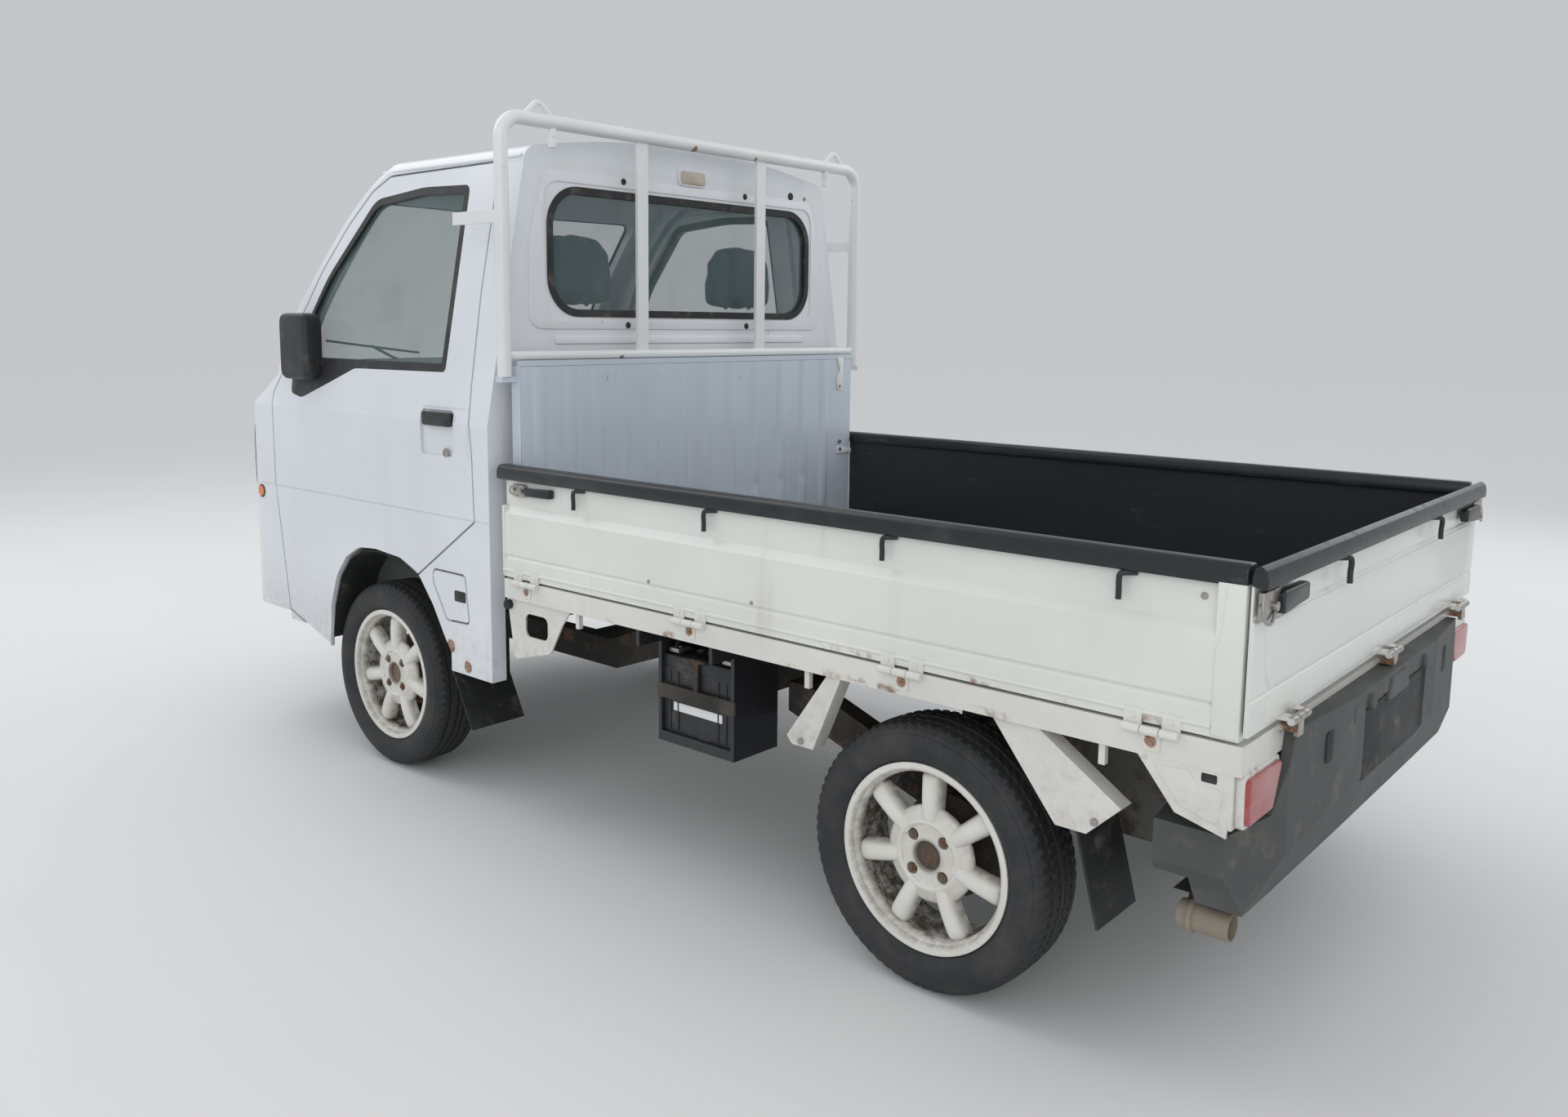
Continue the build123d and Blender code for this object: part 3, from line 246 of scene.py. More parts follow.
def paint(name, color, grime_top=0.62, grime=0.55, streaks=0.3, chips=0.5, rust_spots=(), edge_rust=None,
          inside=None, gloss=0.28, pressed=()):
    """Old paint: uneven tone, road grime low down, streaks, chips and rust; pressed holds shallow recesses
    of a side as ranges of x and z and a depth."""
    look = Look(name, Coat_Weight=0.25, Coat_Roughness=0.12)
    cloud = look.noise(2.2, 4)
    tone = look.mix(cloud.ramp(0.3, 0.7), shade(color, 0.93), shade(color, 1.03))
    fine = look.noise(34, 5, roughness=0.7)
    low = look.z.ramp(grime_top, grime_top - 0.38)
    dirty = (low * (0.25 + 0.9 * fine.ramp(0.35, 0.75)) * grime).least(1)
    drips = look.noise(9, 4, (1, 1, 0.09)).ramp(0.56, 0.78) * look.noise(3, 2).ramp(0.4, 0.62) * streaks
    color_now = look.mix(drips, tone, (0.45, 0.42, 0.37))
    color_now = look.mix(dirty, color_now, DUST)
    specks = look.cells(34, (1, 1, 0.55)).ramp(0.1, 0.055) * look.noise(5.2, 2).ramp(0.66 - 0.1 * chips, 0.74)
    scars = look.noise(60, 2, (1, 1, 0.18)).ramp(0.74, 0.78) * look.noise(4.1, 2).ramp(0.58, 0.66)
    bare = specks.most(scars) * min(1, chips * 1.6)
    ragged = look.noise(48, 5, roughness=0.75)
    spots = [(look.near(spot[:3], spot[3]) + ragged * 0.5 - 0.22).ramp(0.36, 0.62) for spot in rust_spots]
    if edge_rust is not None:
        spots.append(look.z.band(edge_rust, 0.004, 0.012) * look.noise(7, 5, roughness=0.7).ramp(0.55, 0.68))
    color_now = look.mix(bare, color_now, BARE)
    rough = gloss + 0.1 * cloud + 0.4 * dirty + 0.2 * drips
    height = look.noise(260, 2) * 0.25 - bare
    if spots:
        rust = reduce(Socket.most, spots)
        color_now = look.mix(rust, color_now, look.mix(ragged.ramp(0.4, 0.6), RUST_PALE, RUST))
        height = height - rust * (0.4 + ragged)
    for x_span, z_span, depth in pressed:
        height = height - look.room(0.007, x=x_span, z=z_span) * (depth / 0.0002)
    if inside is not None:
        hidden = inside(look)
        coat = look.noise(26, 5, (0.35, 1, 1), 0.7)
        dark = look.mix(coat.ramp(0.62, 0.8), BLACK, (0.09, 0.088, 0.085))
        color_now = look.mix(hidden, color_now, dark)
        rough = rough * (1 - hidden) + (0.38 + 0.25 * coat) * hidden
    return look.finish(color_now, rough, height, 0.35, 0.0006)


def coating(name, color=BLACK):
    """Black bed coating, scuffed along the load's way."""
    look = Look(name)
    scuff = look.noise(24, 5, (0.22, 1, 1), 0.7).ramp(0.56, 0.74)
    wear = look.noise(3.4, 3).ramp(0.42, 0.66)
    dust = look.noise(7, 4).ramp(0.5, 0.8) * 0.3
    nick = look.cells(30).ramp(0.09, 0.05) * look.noise(6, 2).ramp(0.66, 0.74)
    color_now = look.mix(scuff * wear * 0.55, color, (0.16, 0.155, 0.15))
    color_now = look.mix(dust, color_now, (0.10, 0.095, 0.085))
    return look.finish(look.mix(nick, color_now, (0.5, 0.5, 0.48)), 0.34 + 0.3 * scuff + 0.3 * dust,
                       look.noise(150, 3) * 0.6 - scuff * 0.3, 0.4, 0.0008)


def moulding(name, color, rough=0.45, fade=0.25, grain=420.0, dusty=0.2):
    """Moulded plastic or rubber, faded and grained."""
    look = Look(name)
    cloud = look.noise(5, 4)
    dust = look.noise(16, 5, roughness=0.7).ramp(0.5, 0.82) * dusty
    color_now = look.mix(cloud.ramp(0.45, 0.8) * fade, color, shade(color, 1.3, 0.12))
    return look.finish(look.mix(dust, color_now, DUST), rough + 0.15 * cloud + 0.3 * dust,
                       look.noise(grain, 3) + 0.3 * look.cells(grain * 0.7), 0.22, 0.0003)


def underbody(name):
    """Black chassis paint under dust, with rust breaking through."""
    look = Look(name)
    cloud = look.noise(9, 5, roughness=0.65)
    rust = look.noise(15, 6, roughness=0.75).ramp(0.53, 0.66)
    dust = look.noise(5, 4).ramp(0.35, 0.75) * 0.6
    browns = look.mix(cloud, (0.09, 0.045, 0.025), (0.20, 0.10, 0.05))
    color_now = look.mix(rust, (0.022, 0.021, 0.02), browns)
    return look.finish(look.mix(dust, color_now, (0.12, 0.105, 0.085)), 0.62 + 0.25 * cloud,
                       look.noise(70, 5) + rust, 0.45, 0.0012)


def cast(name, color=(0.24, 0.235, 0.225), metallic=0.7):
    """Dull cast or bare metal with stains."""
    look = Look(name, Metallic=metallic)
    stain = look.noise(12, 5, roughness=0.7).ramp(0.45, 0.72)
    return look.finish(look.mix(stain, color, (0.10, 0.075, 0.05)), 0.42 + 0.35 * stain,
                       look.noise(240, 4), 0.3, 0.0005)


def rusty(name):
    """Steel with a brown rust skin."""
    look = Look(name, Metallic=0.35)
    cloud = look.noise(30, 6, roughness=0.75)
    color_now = look.mix(cloud.ramp(0.35, 0.7), (0.17, 0.13, 0.10), RUST)
    color_now = look.mix(look.noise(8, 3).ramp(0.5, 0.7) * 0.6, color_now, (0.30, 0.27, 0.23))
    return look.finish(color_now, 0.55 + 0.35 * cloud, cloud, 0.5, 0.0012)


def worn_steel(name):
    """Bright plated steel gone dull, rust in its corners."""
    look = Look(name, Metallic=0.85)
    rust = look.noise(55, 5, roughness=0.75).ramp(0.56, 0.68)
    return look.finish(look.mix(rust, (0.40, 0.385, 0.36), (0.16, 0.085, 0.045)), 0.32 + 0.45 * rust,
                       look.noise(160, 3) + rust, 0.3, 0.0005)


def wheel_radius(look):
    """Distance from the axle that a point belongs to."""
    front = look.x.ramp(-0.101, -0.1)
    across = look.x - (REAR_AXLE + front * (FRONT_AXLE - REAR_AXLE))
    up = look.z - AXLE_Z
    return (across * across + up * up) ** 0.5


def tyre_rubber(name):
    """Tyre rubber: dusty side wall with faint rings, darker tread."""
    look = Look(name)
    radius = wheel_radius(look)
    dust = look.noise(10, 5, roughness=0.65).ramp(0.35, 0.8)
    tread = radius.ramp(0.262, 0.268)
    side = radius.band(0.226, 0.02, 0.02)
    color_now = look.mix(dust * (0.28 + 0.2 * side), (0.017, 0.018, 0.021), (0.115, 0.105, 0.095))
    color_now = look.mix(tread * 0.6, color_now, (0.032, 0.031, 0.031))
    rings = (radius * 2200.0).sine()
    ringed = radius.band(0.203, 0.003, 0.002).most(radius.band(0.2465, 0.003, 0.002))
    return look.finish(color_now, 0.6 + 0.28 * dust, rings * ringed * 0.8 + look.noise(300, 3) * 0.5,
                       0.5, 0.0005)


def alloy(name):
    """Cream-white wheel paint with brake dust and a chipped lip."""
    look = Look(name, Coat_Weight=0.15)
    radius = wheel_radius(look)
    depth = abs(look.y).ramp(WHEEL_Y + 0.052, WHEEL_Y + 0.02)
    cloud = look.noise(42, 5, roughness=0.72)
    dust = (depth * 0.75 + radius.band(0.172, 0.004, 0.008) * 0.5) * cloud.ramp(0.25, 0.7)
    dust = dust.most(radius.ramp(0.04, 0.028) * 0.8)
    film = look.noise(9, 4).ramp(0.3, 0.75) * 0.3
    color_now = look.mix(film, (0.74, 0.73, 0.68), (0.52, 0.49, 0.42))
    color_now = look.mix(dust, color_now, (0.13, 0.095, 0.065))
    chip = look.noise(150, 3).ramp(0.66, 0.72) * radius.ramp(0.178, 0.184) * look.noise(14, 2).ramp(0.45, 0.6)
    return look.finish(look.mix(chip, color_now, (0.2, 0.19, 0.18)), 0.38 + 0.4 * dust + 0.15 * film,
                       look.noise(220, 3) * 0.5 - chip, 0.3, 0.0005)


def glazing(name, tint=(0.15, 0.23, 0.22), clear=0.15):
    """Thin tinted glass that shows what is behind it."""
    look = Look(name, Roughness=0.03, Specular_IOR_Level=0.6)
    edge = look.facing(0.35)
    smear = look.noise(6, 5, (1, 1, 0.6), 0.65).ramp(0.45, 0.85)
    look.set("Base Color", look.mix(smear * 0.5, tint, (0.42, 0.44, 0.42)))
    look.set("Alpha", (clear + 0.5 * edge ** 2 + 0.1 * smear).least(1))
    return look.material


def lens(name, color, ribs=(0, 0), depth=0.001, faded=0.3):
    """Lamp lens with moulded ribs, faded by the sun."""
    look = Look(name, Coat_Weight=0.5, Coat_Roughness=0.1, Subsurface_Weight=0.12)
    look.set("Subsurface Radius", (0.02, 0.01, 0.01))
    fade = look.noise(11, 4).ramp(0.35, 0.75) * faded
    height = look.noise(90, 2) * 0.2
    for axis, pitch in zip((look.y, look.z), ribs):
        if pitch:
            height = height + (axis * (2 * math.pi / pitch)).sine() * 0.5
    return look.finish(look.mix(fade, color, shade(color, 0.7, 0.35)), 0.22 + 0.35 * fade, height, 0.5, depth)


def cloth(name, color=(0.055, 0.075, 0.115)):
    """Woven seat cloth."""
    look = Look(name, Sheen_Weight=0.35, Sheen_Roughness=0.5)
    pitch = 2 * math.pi / 0.0034
    weave = ((look.y * pitch).sine() * ((look.z + look.x * 0.7) * pitch).sine()).ramp(-0.6, 0.6)
    cloud = look.noise(8, 4)
    color_now = look.mix(weave * 0.6 + cloud * 0.3, color, shade(color, 1.7))
    color_now = look.mix(look.noise(3, 3).ramp(0.55, 0.8) * 0.3, color_now, (0.20, 0.19, 0.17))
    return look.finish(color_now, 0.82 + 0.1 * cloud, weave + cloud * 0.5, 0.4, 0.0006)


def clear_cover(name, clear=0.16):
    """Clear plastic over a lamp's bowl."""
    look = Look(name, Roughness=0.06, Specular_IOR_Level=0.7, Base_Color=(0.75, 0.79, 0.82, 1))
    edge = look.facing(0.4)
    look.set("Alpha", (clear + 0.55 * edge ** 2).least(1))
    ribs = (look.y * (2 * math.pi / 0.018)).sine()
    look.bump(ribs * look.room(0.01, z=(0.77, 0.82)), 0.6, 0.0012)
    return look.material


def bright(name, color=(0.75, 0.76, 0.78)):
    """Bright reflector metal."""
    look = Look(name, Metallic=1.0)
    look.set("Base Color", look.mix(look.noise(20, 3), color, shade(color, 0.85)))
    look.set("Roughness", 0.12 + 0.15 * look.noise(40, 3))
    return look.material


LOOKS = {}


def make_looks(paints):
    """All finishes by short name."""
    blue_white, cream = tuple(paints.cab), tuple(paints.bed)
    hinge_spots = [(TAIL_AXIS[0], y, 0.652, 0.055) for y in TAIL_HINGES]
    side_spots = [(x, HALF_WIDTH, 0.63, 0.022) for x in GATE_HINGES]
    cab_side = dict(rust_spots=((0.476, HALF_WIDTH, 0.43, 0.035), (0.40, HALF_WIDTH, 0.385, 0.03)),
                    grime=0.5, streaks=0.12, chips=0.35, pressed=(HANDLE_RECESS,))
    LOOKS.update(
        door=paint("door_paint", blue_white, **cab_side),
        body=paint("body_paint", blue_white, **cab_side, inside=lambda look: (
            abs(look.y).ramp(0.716, 0.712) * look.room(x=(0.30, 1.36), z=(0.2, 0.664)))),
        cab_back=paint("cab_back_paint", (0.72, 0.735, 0.75), grime_top=1.1, grime=0.3, streaks=0.25,
                       chips=0.4, rust_spots=((0.29, -0.515, 1.705, 0.014),),
                       inside=lambda look: look.z.ramp(0.664, 0.660)),
        gate=paint("gate_paint", cream, grime_top=0.78, grime=0.35, streaks=0.35, chips=0.9, edge_rust=0.66,
                   inside=lambda look: abs(look.y).ramp(0.7052, 0.7046)),
        tail=paint("tailgate_paint", cream, grime_top=0.8, grime=0.35, streaks=0.35, chips=1.0,
                   rust_spots=hinge_spots, inside=lambda look: look.x.ramp(-1.6372, -1.6366)),
        sill=paint("sill_paint", (0.72, 0.715, 0.67), grime_top=0.72, grime=0.6, streaks=0.4, chips=1.0,
                   rust_spots=hinge_spots + side_spots, edge_rust=0.606,
                   inside=lambda look: Socket.most(
                       look.room(0.001, x=(-0.53, -0.23), y=(0.3, 0.735), z=(0.3, 0.6025)),
                       look.room(x=(-1.60, 0.30), y=(-0.662, 0.662), z=(0.2, 0.600)))),
        board=paint("headboard_paint", tuple(paints.board), grime_top=0.9, grime=0.2, streaks=0.35,
                    chips=1.3),
        guard=paint("guard_paint", (0.76, 0.77, 0.76), grime_top=0.3, streaks=0.2, chips=0.9,
                    rust_spots=((0.235, 0.05, 1.80, 0.022), (0.235, -0.21, 1.80, 0.016),
                                (0.235, 0.33, 1.21, 0.014))),
        inner=paint("cab_inner_paint", (0.42, 0.43, 0.43), grime=0.3, streaks=0, chips=0.2, gloss=0.45),
        skin=paint("bumper_paint", blue_white, grime=0.6, streaks=0.1, chips=0.3),
        coating=coating("bed_coating"),
        pad=coating("rail_pad", (0.014, 0.015, 0.019)),
        trim=moulding("black_trim", (0.02, 0.02, 0.022), 0.4),
        rubber=moulding("seal_rubber", (0.016, 0.016, 0.017), 0.6, 0.2, 300.0, 0.35),
        weathered=moulding("weathered_bumper", (0.072, 0.073, 0.072), 0.58, 0.35, 260.0, 0.28),
        dash=moulding("dash_plastic", (0.085, 0.09, 0.095), 0.55, 0.15, 700.0, 0.15),
        chassis=underbody("chassis_paint"),
        engine=cast("engine_metal"),
        rusty=rusty("rusty_steel"),
        pipe=moulding("dusty_pipe", (0.26, 0.22, 0.17), 0.7, 0.4, 120.0, 0.7),
        steel=worn_steel("worn_steel"),
        tyre=tyre_rubber("tyre_rubber"),
        alloy=alloy("alloy_paint"),
        glass=glazing("window_glass"),
        red=lens("tail_lens", (0.34, 0.03, 0.03), (0.0045, 0), 0.0004, 0.35),
        amber=lens("side_lens", (0.70, 0.17, 0.015), (0.004, 0)),
        clear=clear_cover("lamp_cover"),
        bright=bright("reflector"),
        beige=lens("brake_lens", (0.40, 0.35, 0.27), (0.005, 0), 0.0008, 0.4),
        battery=moulding("battery_case", (0.018, 0.018, 0.02), 0.35, 0.2, 200.0, 0.45),
        cloth=cloth("seat_cloth", tuple(paints.seats)),
    )


# The finish of each CAD node; those of a pair or a set of wheels stand without their ending
NODE_LOOKS = {
    "frame": "chassis", "cab_floor": "inner", "cab_front": "body", "cab_roof": "body", "cab_back": "cab_back",
    "cab_sides": "body", "front_bumper": "skin", "cab_glass": "glass", "rear_gasket": "rubber",
    "dash": "dash", "front_lamps": "clear", "bed_floor": "coating", "bed_frame": "sill",
    "headboard": "board", "guard_frame": "guard", "rear_lamps": "red", "rear_bumper": "weathered",
    "mud_flaps": "rubber", "battery": "battery", "fuel_tank": "chassis", "engine": "engine",
    "exhaust": "rusty", "suspension": "chassis", "fuel_lid": "body", "steering_wheel": "dash",
    "tailgate": "tail", "tailgate_trim": "pad", "door": "door", "door_glass": "glass", "door_trim": "trim",
    "side_gate": "gate", "side_gate_trim": "pad", "knuckle": "rusty", "tyre": "tyre", "rim": "alloy",
    "seats": "cloth",
}


def dress_nodes():
    """Gives every CAD node its finish."""
    for node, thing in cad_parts.items():
        look = NODE_LOOKS.get(node) or NODE_LOOKS[node.rsplit("_", 1)[0]]
        thing.data.materials.clear()
        thing.data.materials.append(LOOKS[look])


# Modelling helpers


def clear():
    """Deselects everything."""
    if bpy.context.mode != "OBJECT":
        bpy.ops.object.mode_set(mode="OBJECT")
    bpy.ops.object.select_all(action="DESELECT")


def pick(piece):
    """Makes a piece the only selected one."""
    clear()
    piece.select_set(True)
    bpy.context.view_layer.objects.active = piece
    return piece


def settle(piece, name):
    """Names a piece and puts its place into its mesh."""
    piece.name = name
    piece.data.name = name
    pick(piece)
    bpy.ops.object.transform_apply(location=True, rotation=True, scale=True)
    return piece


def modify(piece, kind, **settings):
    """Adds a modifier and applies it."""
    pick(piece)
    modifier = piece.modifiers.new(kind.lower(), kind)
    for name, value in settings.items():
        setattr(modifier, name, value)
    bpy.ops.object.modifier_apply(modifier=modifier.name)
    return piece


def soften(piece, width, segments=2, angle=35):
    """Rounds the sharp edges."""
    return modify(piece, "BEVEL", width=width, segments=segments, limit_method="ANGLE",
                  angle_limit=math.radians(angle), harden_normals=False)


def tidy(piece):
    """Merges doubles and turns the faces outwards."""
    pick(piece)
    bpy.ops.object.mode_set(mode="EDIT")
    bpy.ops.mesh.select_all(action="SELECT")
    bpy.ops.mesh.remove_doubles(threshold=0.00001)
    bpy.ops.mesh.normals_make_consistent(inside=False)
    bpy.ops.object.mode_set(mode="OBJECT")
    return piece


def at(axis, a, b, c):
    """A point from its two coordinates in a drawing and c along the axis."""
    return {"x": (c, a, b), "y": (a, c, b), "z": (a, b, c)}[axis]


def block(name, low, high, edge=0.0, segments=2):
    """Block between two corners with rounded edges."""
    clear()
    low, high = Vector(low), Vector(high)
    bpy.ops.mesh.primitive_cube_add(size=1, location=(low + high) / 2, scale=high - low)
    piece = settle(bpy.context.object, name)
    return soften(piece, edge, segments) if edge else piece


def slab(name, points, axis, low, high, edge=0.0, segments=2):
    """Plate with a drawn outline, run along an axis."""
    clear()
    bpy.ops.mesh.primitive_circle_add(vertices=len(points), radius=1, fill_type="NGON")
    piece = bpy.context.object
    for vertex, (a, b) in zip(piece.data.vertices, points):
        vertex.co = at(axis, a, b, low)
    bpy.ops.object.mode_set(mode="EDIT")
    bpy.ops.mesh.select_all(action="SELECT")
    bpy.ops.mesh.extrude_region_move(TRANSFORM_OT_translate={"value": at(axis, 0, 0, high - low)})
    bpy.ops.object.mode_set(mode="OBJECT")
    tidy(settle(piece, name))
    return soften(piece, edge, segments) if edge else piece


def drum(name, axis, a, b, low, high, radius, edge=0.0, sides=32):
    """Round bar along an axis."""
    clear()
    turn = {"x": (0, math.pi / 2, 0), "y": (math.pi / 2, 0, 0), "z": (0, 0, 0)}[axis]
    bpy.ops.mesh.primitive_cylinder_add(vertices=sides, radius=radius, depth=high - low,
                                        location=at(axis, a, b, (low + high) / 2), rotation=turn)
    piece = settle(bpy.context.object, name)
    return soften(piece, edge, 2, 50) if edge else piece


def hexagon(axis, a, b, low, high, radius=0.0075):
    """Head of a hexagon bolt."""
    return drum("bolt", axis, a, b, low, high, radius, 0.0012, 6)


def turned(name, profile, steps):
    """A closed outline of radius and y, spun about the Y axis."""
    clear()
    bpy.ops.mesh.primitive_circle_add(vertices=len(profile), radius=1, fill_type="NOTHING")
    piece = bpy.context.object
    for vertex, (radius, y) in zip(piece.data.vertices, profile):
        vertex.co = (radius * MM, y * MM, 0)
    bpy.ops.object.mode_set(mode="EDIT")
    bpy.ops.mesh.select_all(action="SELECT")
    bpy.ops.mesh.spin(steps=steps, angle=2 * math.pi, center=(0, 0, 0), axis=(0, 1, 0))
    bpy.ops.object.mode_set(mode="OBJECT")
    return tidy(settle(piece, name))


def wire(name, points, radius, closed=False):
    """Round wire through bends near the given points."""
    clear()
    bpy.ops.curve.primitive_nurbs_path_add()
    piece = bpy.context.object
    curve = piece.data
    curve.splines.clear()
    spline = curve.splines.new("NURBS")
    spline.points.add(len(points) - 1)
    for point, place in zip(spline.points, points):
        point.co = (*place, 1)
    spline.use_endpoint_u = not closed
    spline.use_cyclic_u = closed
    spline.order_u = 3
    curve.dimensions = "3D"
    curve.bevel_depth = radius
    curve.bevel_resolution = 3
    curve.resolution_u = 8
    curve.use_fill_caps = True
    pick(piece)
    bpy.ops.object.convert(target="MESH")
    return tidy(settle(bpy.context.object, name))


def bent(name, x, y, bends, radius):
    """Wire through bends given from a place in x and y."""
    return wire(name, [(x + dx, y + dy, z) for dx, dy, z in bends], radius)


def grid(name, across, along, shape):
    """Sheet whose points come from a rule of two numbers from 0 to 1."""
    clear()
    bpy.ops.mesh.primitive_grid_add(x_subdivisions=across, y_subdivisions=along, size=1)
    piece = bpy.context.object
    for vertex in piece.data.vertices:
        vertex.co = shape(vertex.co.x + 0.5, vertex.co.y + 0.5)
    return settle(piece, name)


def thicken(piece, move):
    """Runs a sheet along a vector into a closed solid."""
    pick(piece)
    bpy.ops.object.mode_set(mode="EDIT")
    bpy.ops.mesh.select_all(action="SELECT")
    bpy.ops.mesh.extrude_region_move(TRANSFORM_OT_translate={"value": move})
    bpy.ops.object.mode_set(mode="OBJECT")
    return tidy(piece)


def join(name, pieces):
    """Makes one piece of several."""
    clear()
    for piece in pieces:
        piece.select_set(True)
    bpy.context.view_layer.objects.active = pieces[0]
    if len(pieces) > 1:
        bpy.ops.object.join()
    joined = bpy.context.object
    joined.name = name
    joined.data.name = name
    return joined


def twin(piece, name, mirrored=False, move=(0, 0, 0)):
    """A copy with its own mesh, on the other side or moved."""
    pick(piece)
    bpy.ops.object.duplicate()
    copy = bpy.context.object
    copy.location = move
    if mirrored:
        copy.scale = (1, -1, 1)
    settle(copy, name)
    return tidy(copy) if mirrored else copy


def rounded(corners, radius, steps=5):
    """Closed outline with its corners rounded."""
    points = []
    for i, corner in enumerate(corners):
        here = Vector(corner)
        back = (Vector(corners[i - 1]) - here).normalized()
        ahead = (Vector(corners[(i + 1) % len(corners)]) - here).normalized()
        reach = radius / math.tan(back.angle(ahead) / 2)
        start, end = here + back * reach, here + ahead * reach
        for k in range(steps + 1):
            t = k / steps
            points.append(tuple(start * (1 - t) ** 2 + here * 2 * t * (1 - t) + end * t ** 2))
    return points


def oblong(a, b, half_a, half_b, radius, steps=5):
    """Rounded rectangle about a point."""
    low_a, high_a, low_b, high_b = a - half_a, a + half_a, b - half_b, b + half_b
    return rounded(((low_a, low_b), (high_a, low_b), (high_a, high_b), (low_a, high_b)), radius, steps)


def skin(nodes, start, heading):
    """First point of some CAD nodes that a straight line meets."""
    start, heading = Vector(start), Vector(heading)
    hits = [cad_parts[node].ray_cast(start, heading) for node in nodes]
    return min((hit[1] for hit in hits if hit[0]), key=lambda point: (point - start).length)


def nose(y, z, proud=0.0):
    """Point on the cab's front at a width and height."""
    point = skin(("cab_front", "front_bumper", "front_lamps", "cab_glass"), (2.2, y, z), (-1, 0, 0))
    return point + Vector((proud, 0, 0))


def across_nose(half, z, proud, lift=0.0):
    """Points on the cab's front from right to left, at one height or raised from it."""
    steps = 12
    return [nose(-half + 2 * half * i / steps, z, proud) + Vector((0, 0, lift)) for i in range(steps + 1)]


def cut(piece, tool):
    """Takes the tool's form out of a piece."""
    modify(piece, "BOOLEAN", operation="DIFFERENCE", object=tool, solver="EXACT")
    bpy.data.objects.remove(tool)
    return piece


def place(piece, body, look, slot, smooth=40):
    """Gives a finished piece its finish and the body that it rides on; slot is not used."""
    pick(piece)
    bpy.ops.object.shade_smooth_by_angle(angle=math.radians(smooth))
    piece.data.materials.clear()
    piece.data.materials.append(LOOKS[look])
    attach(piece, body)
    return piece


def pair(piece, name, bodies, look, slot, smooth=40):
    """Places a left piece and its mirror image on the right."""
    made = [place(twin(piece, name + "_" + side, side == "r"), body, look, slot, smooth)
            for side, body in zip("lr", bodies)]
    bpy.data.objects.remove(piece)
    return made


# Sizes and colours a user may change


def paint_choice(name, description, color):
    """A colour that a user may pick."""
    return bpy.props.FloatVectorProperty(name=name, description=description, default=color, size=3,
                                         subtype="COLOR")


def length_choice(name, description, length, precision=4):
    """A length that a user may set."""
    return bpy.props.FloatProperty(name=name, description=description, default=length, unit="LENGTH",
                                   subtype="DISTANCE", precision=precision)


class StageSettings(bpy.types.PropertyGroup):
    """Floor, room and camera."""
    floor_size: length_choice("Floor size", "Side of the floor", 60.0, 1)
    floor_color: paint_choice("Floor colour", "Colour of the floor", (0.72, 0.72, 0.71))
    sky_color: paint_choice("Room colour", "Colour of the room around", (0.80, 0.82, 0.85))
    lens: bpy.props.FloatProperty(name="Lens", description="Focal length in millimetres", default=28.37)


class PaintSettings(bpy.types.PropertyGroup):
    """Main colours."""
    cab: paint_choice("Cab", "Paint of the cab", (0.735, 0.765, 0.80))
    bed: paint_choice("Bed", "Paint of the gates", (0.745, 0.745, 0.715))
    board: paint_choice("Headboard", "Paint of the headboard", (0.56, 0.62, 0.69))
    seats: paint_choice("Seats", "Cloth of the seats", (0.05, 0.068, 0.10))


class WheelSettings(bpy.types.PropertyGroup):
    """Tyres and rims."""
    steps: bpy.props.IntProperty(name="Steps round", description="Tread steps round a tyre", default=216)
    sipe_depth: length_choice("Sipe depth", "Depth of the cross cuts in the tread", 0.0035)
    spokes: bpy.props.IntProperty(name="Spokes", description="Number of spokes", default=7)


class SeatSettings(bpy.types.PropertyGroup):
    """Seat pads."""
    voxel: length_choice("Voxel", "Mesh size of the swollen pads", 0.008)
    swell: length_choice("Swell", "How far a pad may swell", 0.014)


class TruckPieces:
    """Shared base of the operators."""
    bl_options = {"REGISTER", "UNDO"}


class TRUCK_OT_finishes(TruckPieces, bpy.types.Operator):
    """Makes the finishes and gives every piece of the frame its own"""
    bl_idname = "truck.finishes"
    bl_label = "Finishes"

    def execute(self, context):
        make_looks(context.scene.truck_paint)
        dress_nodes()
        return {"FINISHED"}


# How strongly the room lights the truck, and how bright it looks
ROOM_LIGHT, ROOM_SEEN = 0.95, 0.69
# Name, place, point aimed at, size in metres and power in watts
LAMPS = (
    ("key", (4.5, 1.2, 5.5), (-0.2, 0, 0.8), 5.0, 110.0),
    ("fill", (-4.5, 6.5, 3.6), (-0.3, 0, 0.7), 5.0, 100.0),
    ("rim", (-2.0, -5.5, 4.0), (-0.5, 0, 0.8), 4.0, 60.0),
)
# The photo's camera, fitted to it: azimuth, elevation and roll in degrees, place in metres, shift
CAMERA_TURN = (220.938, 7.571, 0.581)
CAMERA_PLACE = (-2.32667, 2.62974, 1.30473)
CAMERA_SHIFT = (0.00514, -0.04484)


def light_room(scene, color):
    """A world of one colour that lights the truck more than it shows."""
    world = bpy.data.worlds.new("room")
    scene.world = world
    world.use_nodes = True
    nodes, links = world.node_tree.nodes, world.node_tree.links
    nodes.clear()
    out = nodes.new("ShaderNodeOutputWorld")
    mixer = nodes.new("ShaderNodeMixShader")
    rays = nodes.new("ShaderNodeLightPath").outputs
    shown = rays["Is Camera Ray"]
    for name in ("Is Glossy Ray", "Is Transmission Ray"):
        either = nodes.new("ShaderNodeMath")
        either.operation = "MAXIMUM"
        links.new(shown, either.inputs[0])
        links.new(rays[name], either.inputs[1])
        shown = either.outputs[0]
    links.new(shown, mixer.inputs[0])
    for i, strength in ((1, ROOM_LIGHT), (2, ROOM_SEEN)):
        room = nodes.new("ShaderNodeBackground")
        room.inputs[0].default_value = (*color, 1)
        room.inputs[1].default_value = strength
        links.new(room.outputs[0], mixer.inputs[i])
    links.new(mixer.outputs[0], out.inputs[0])


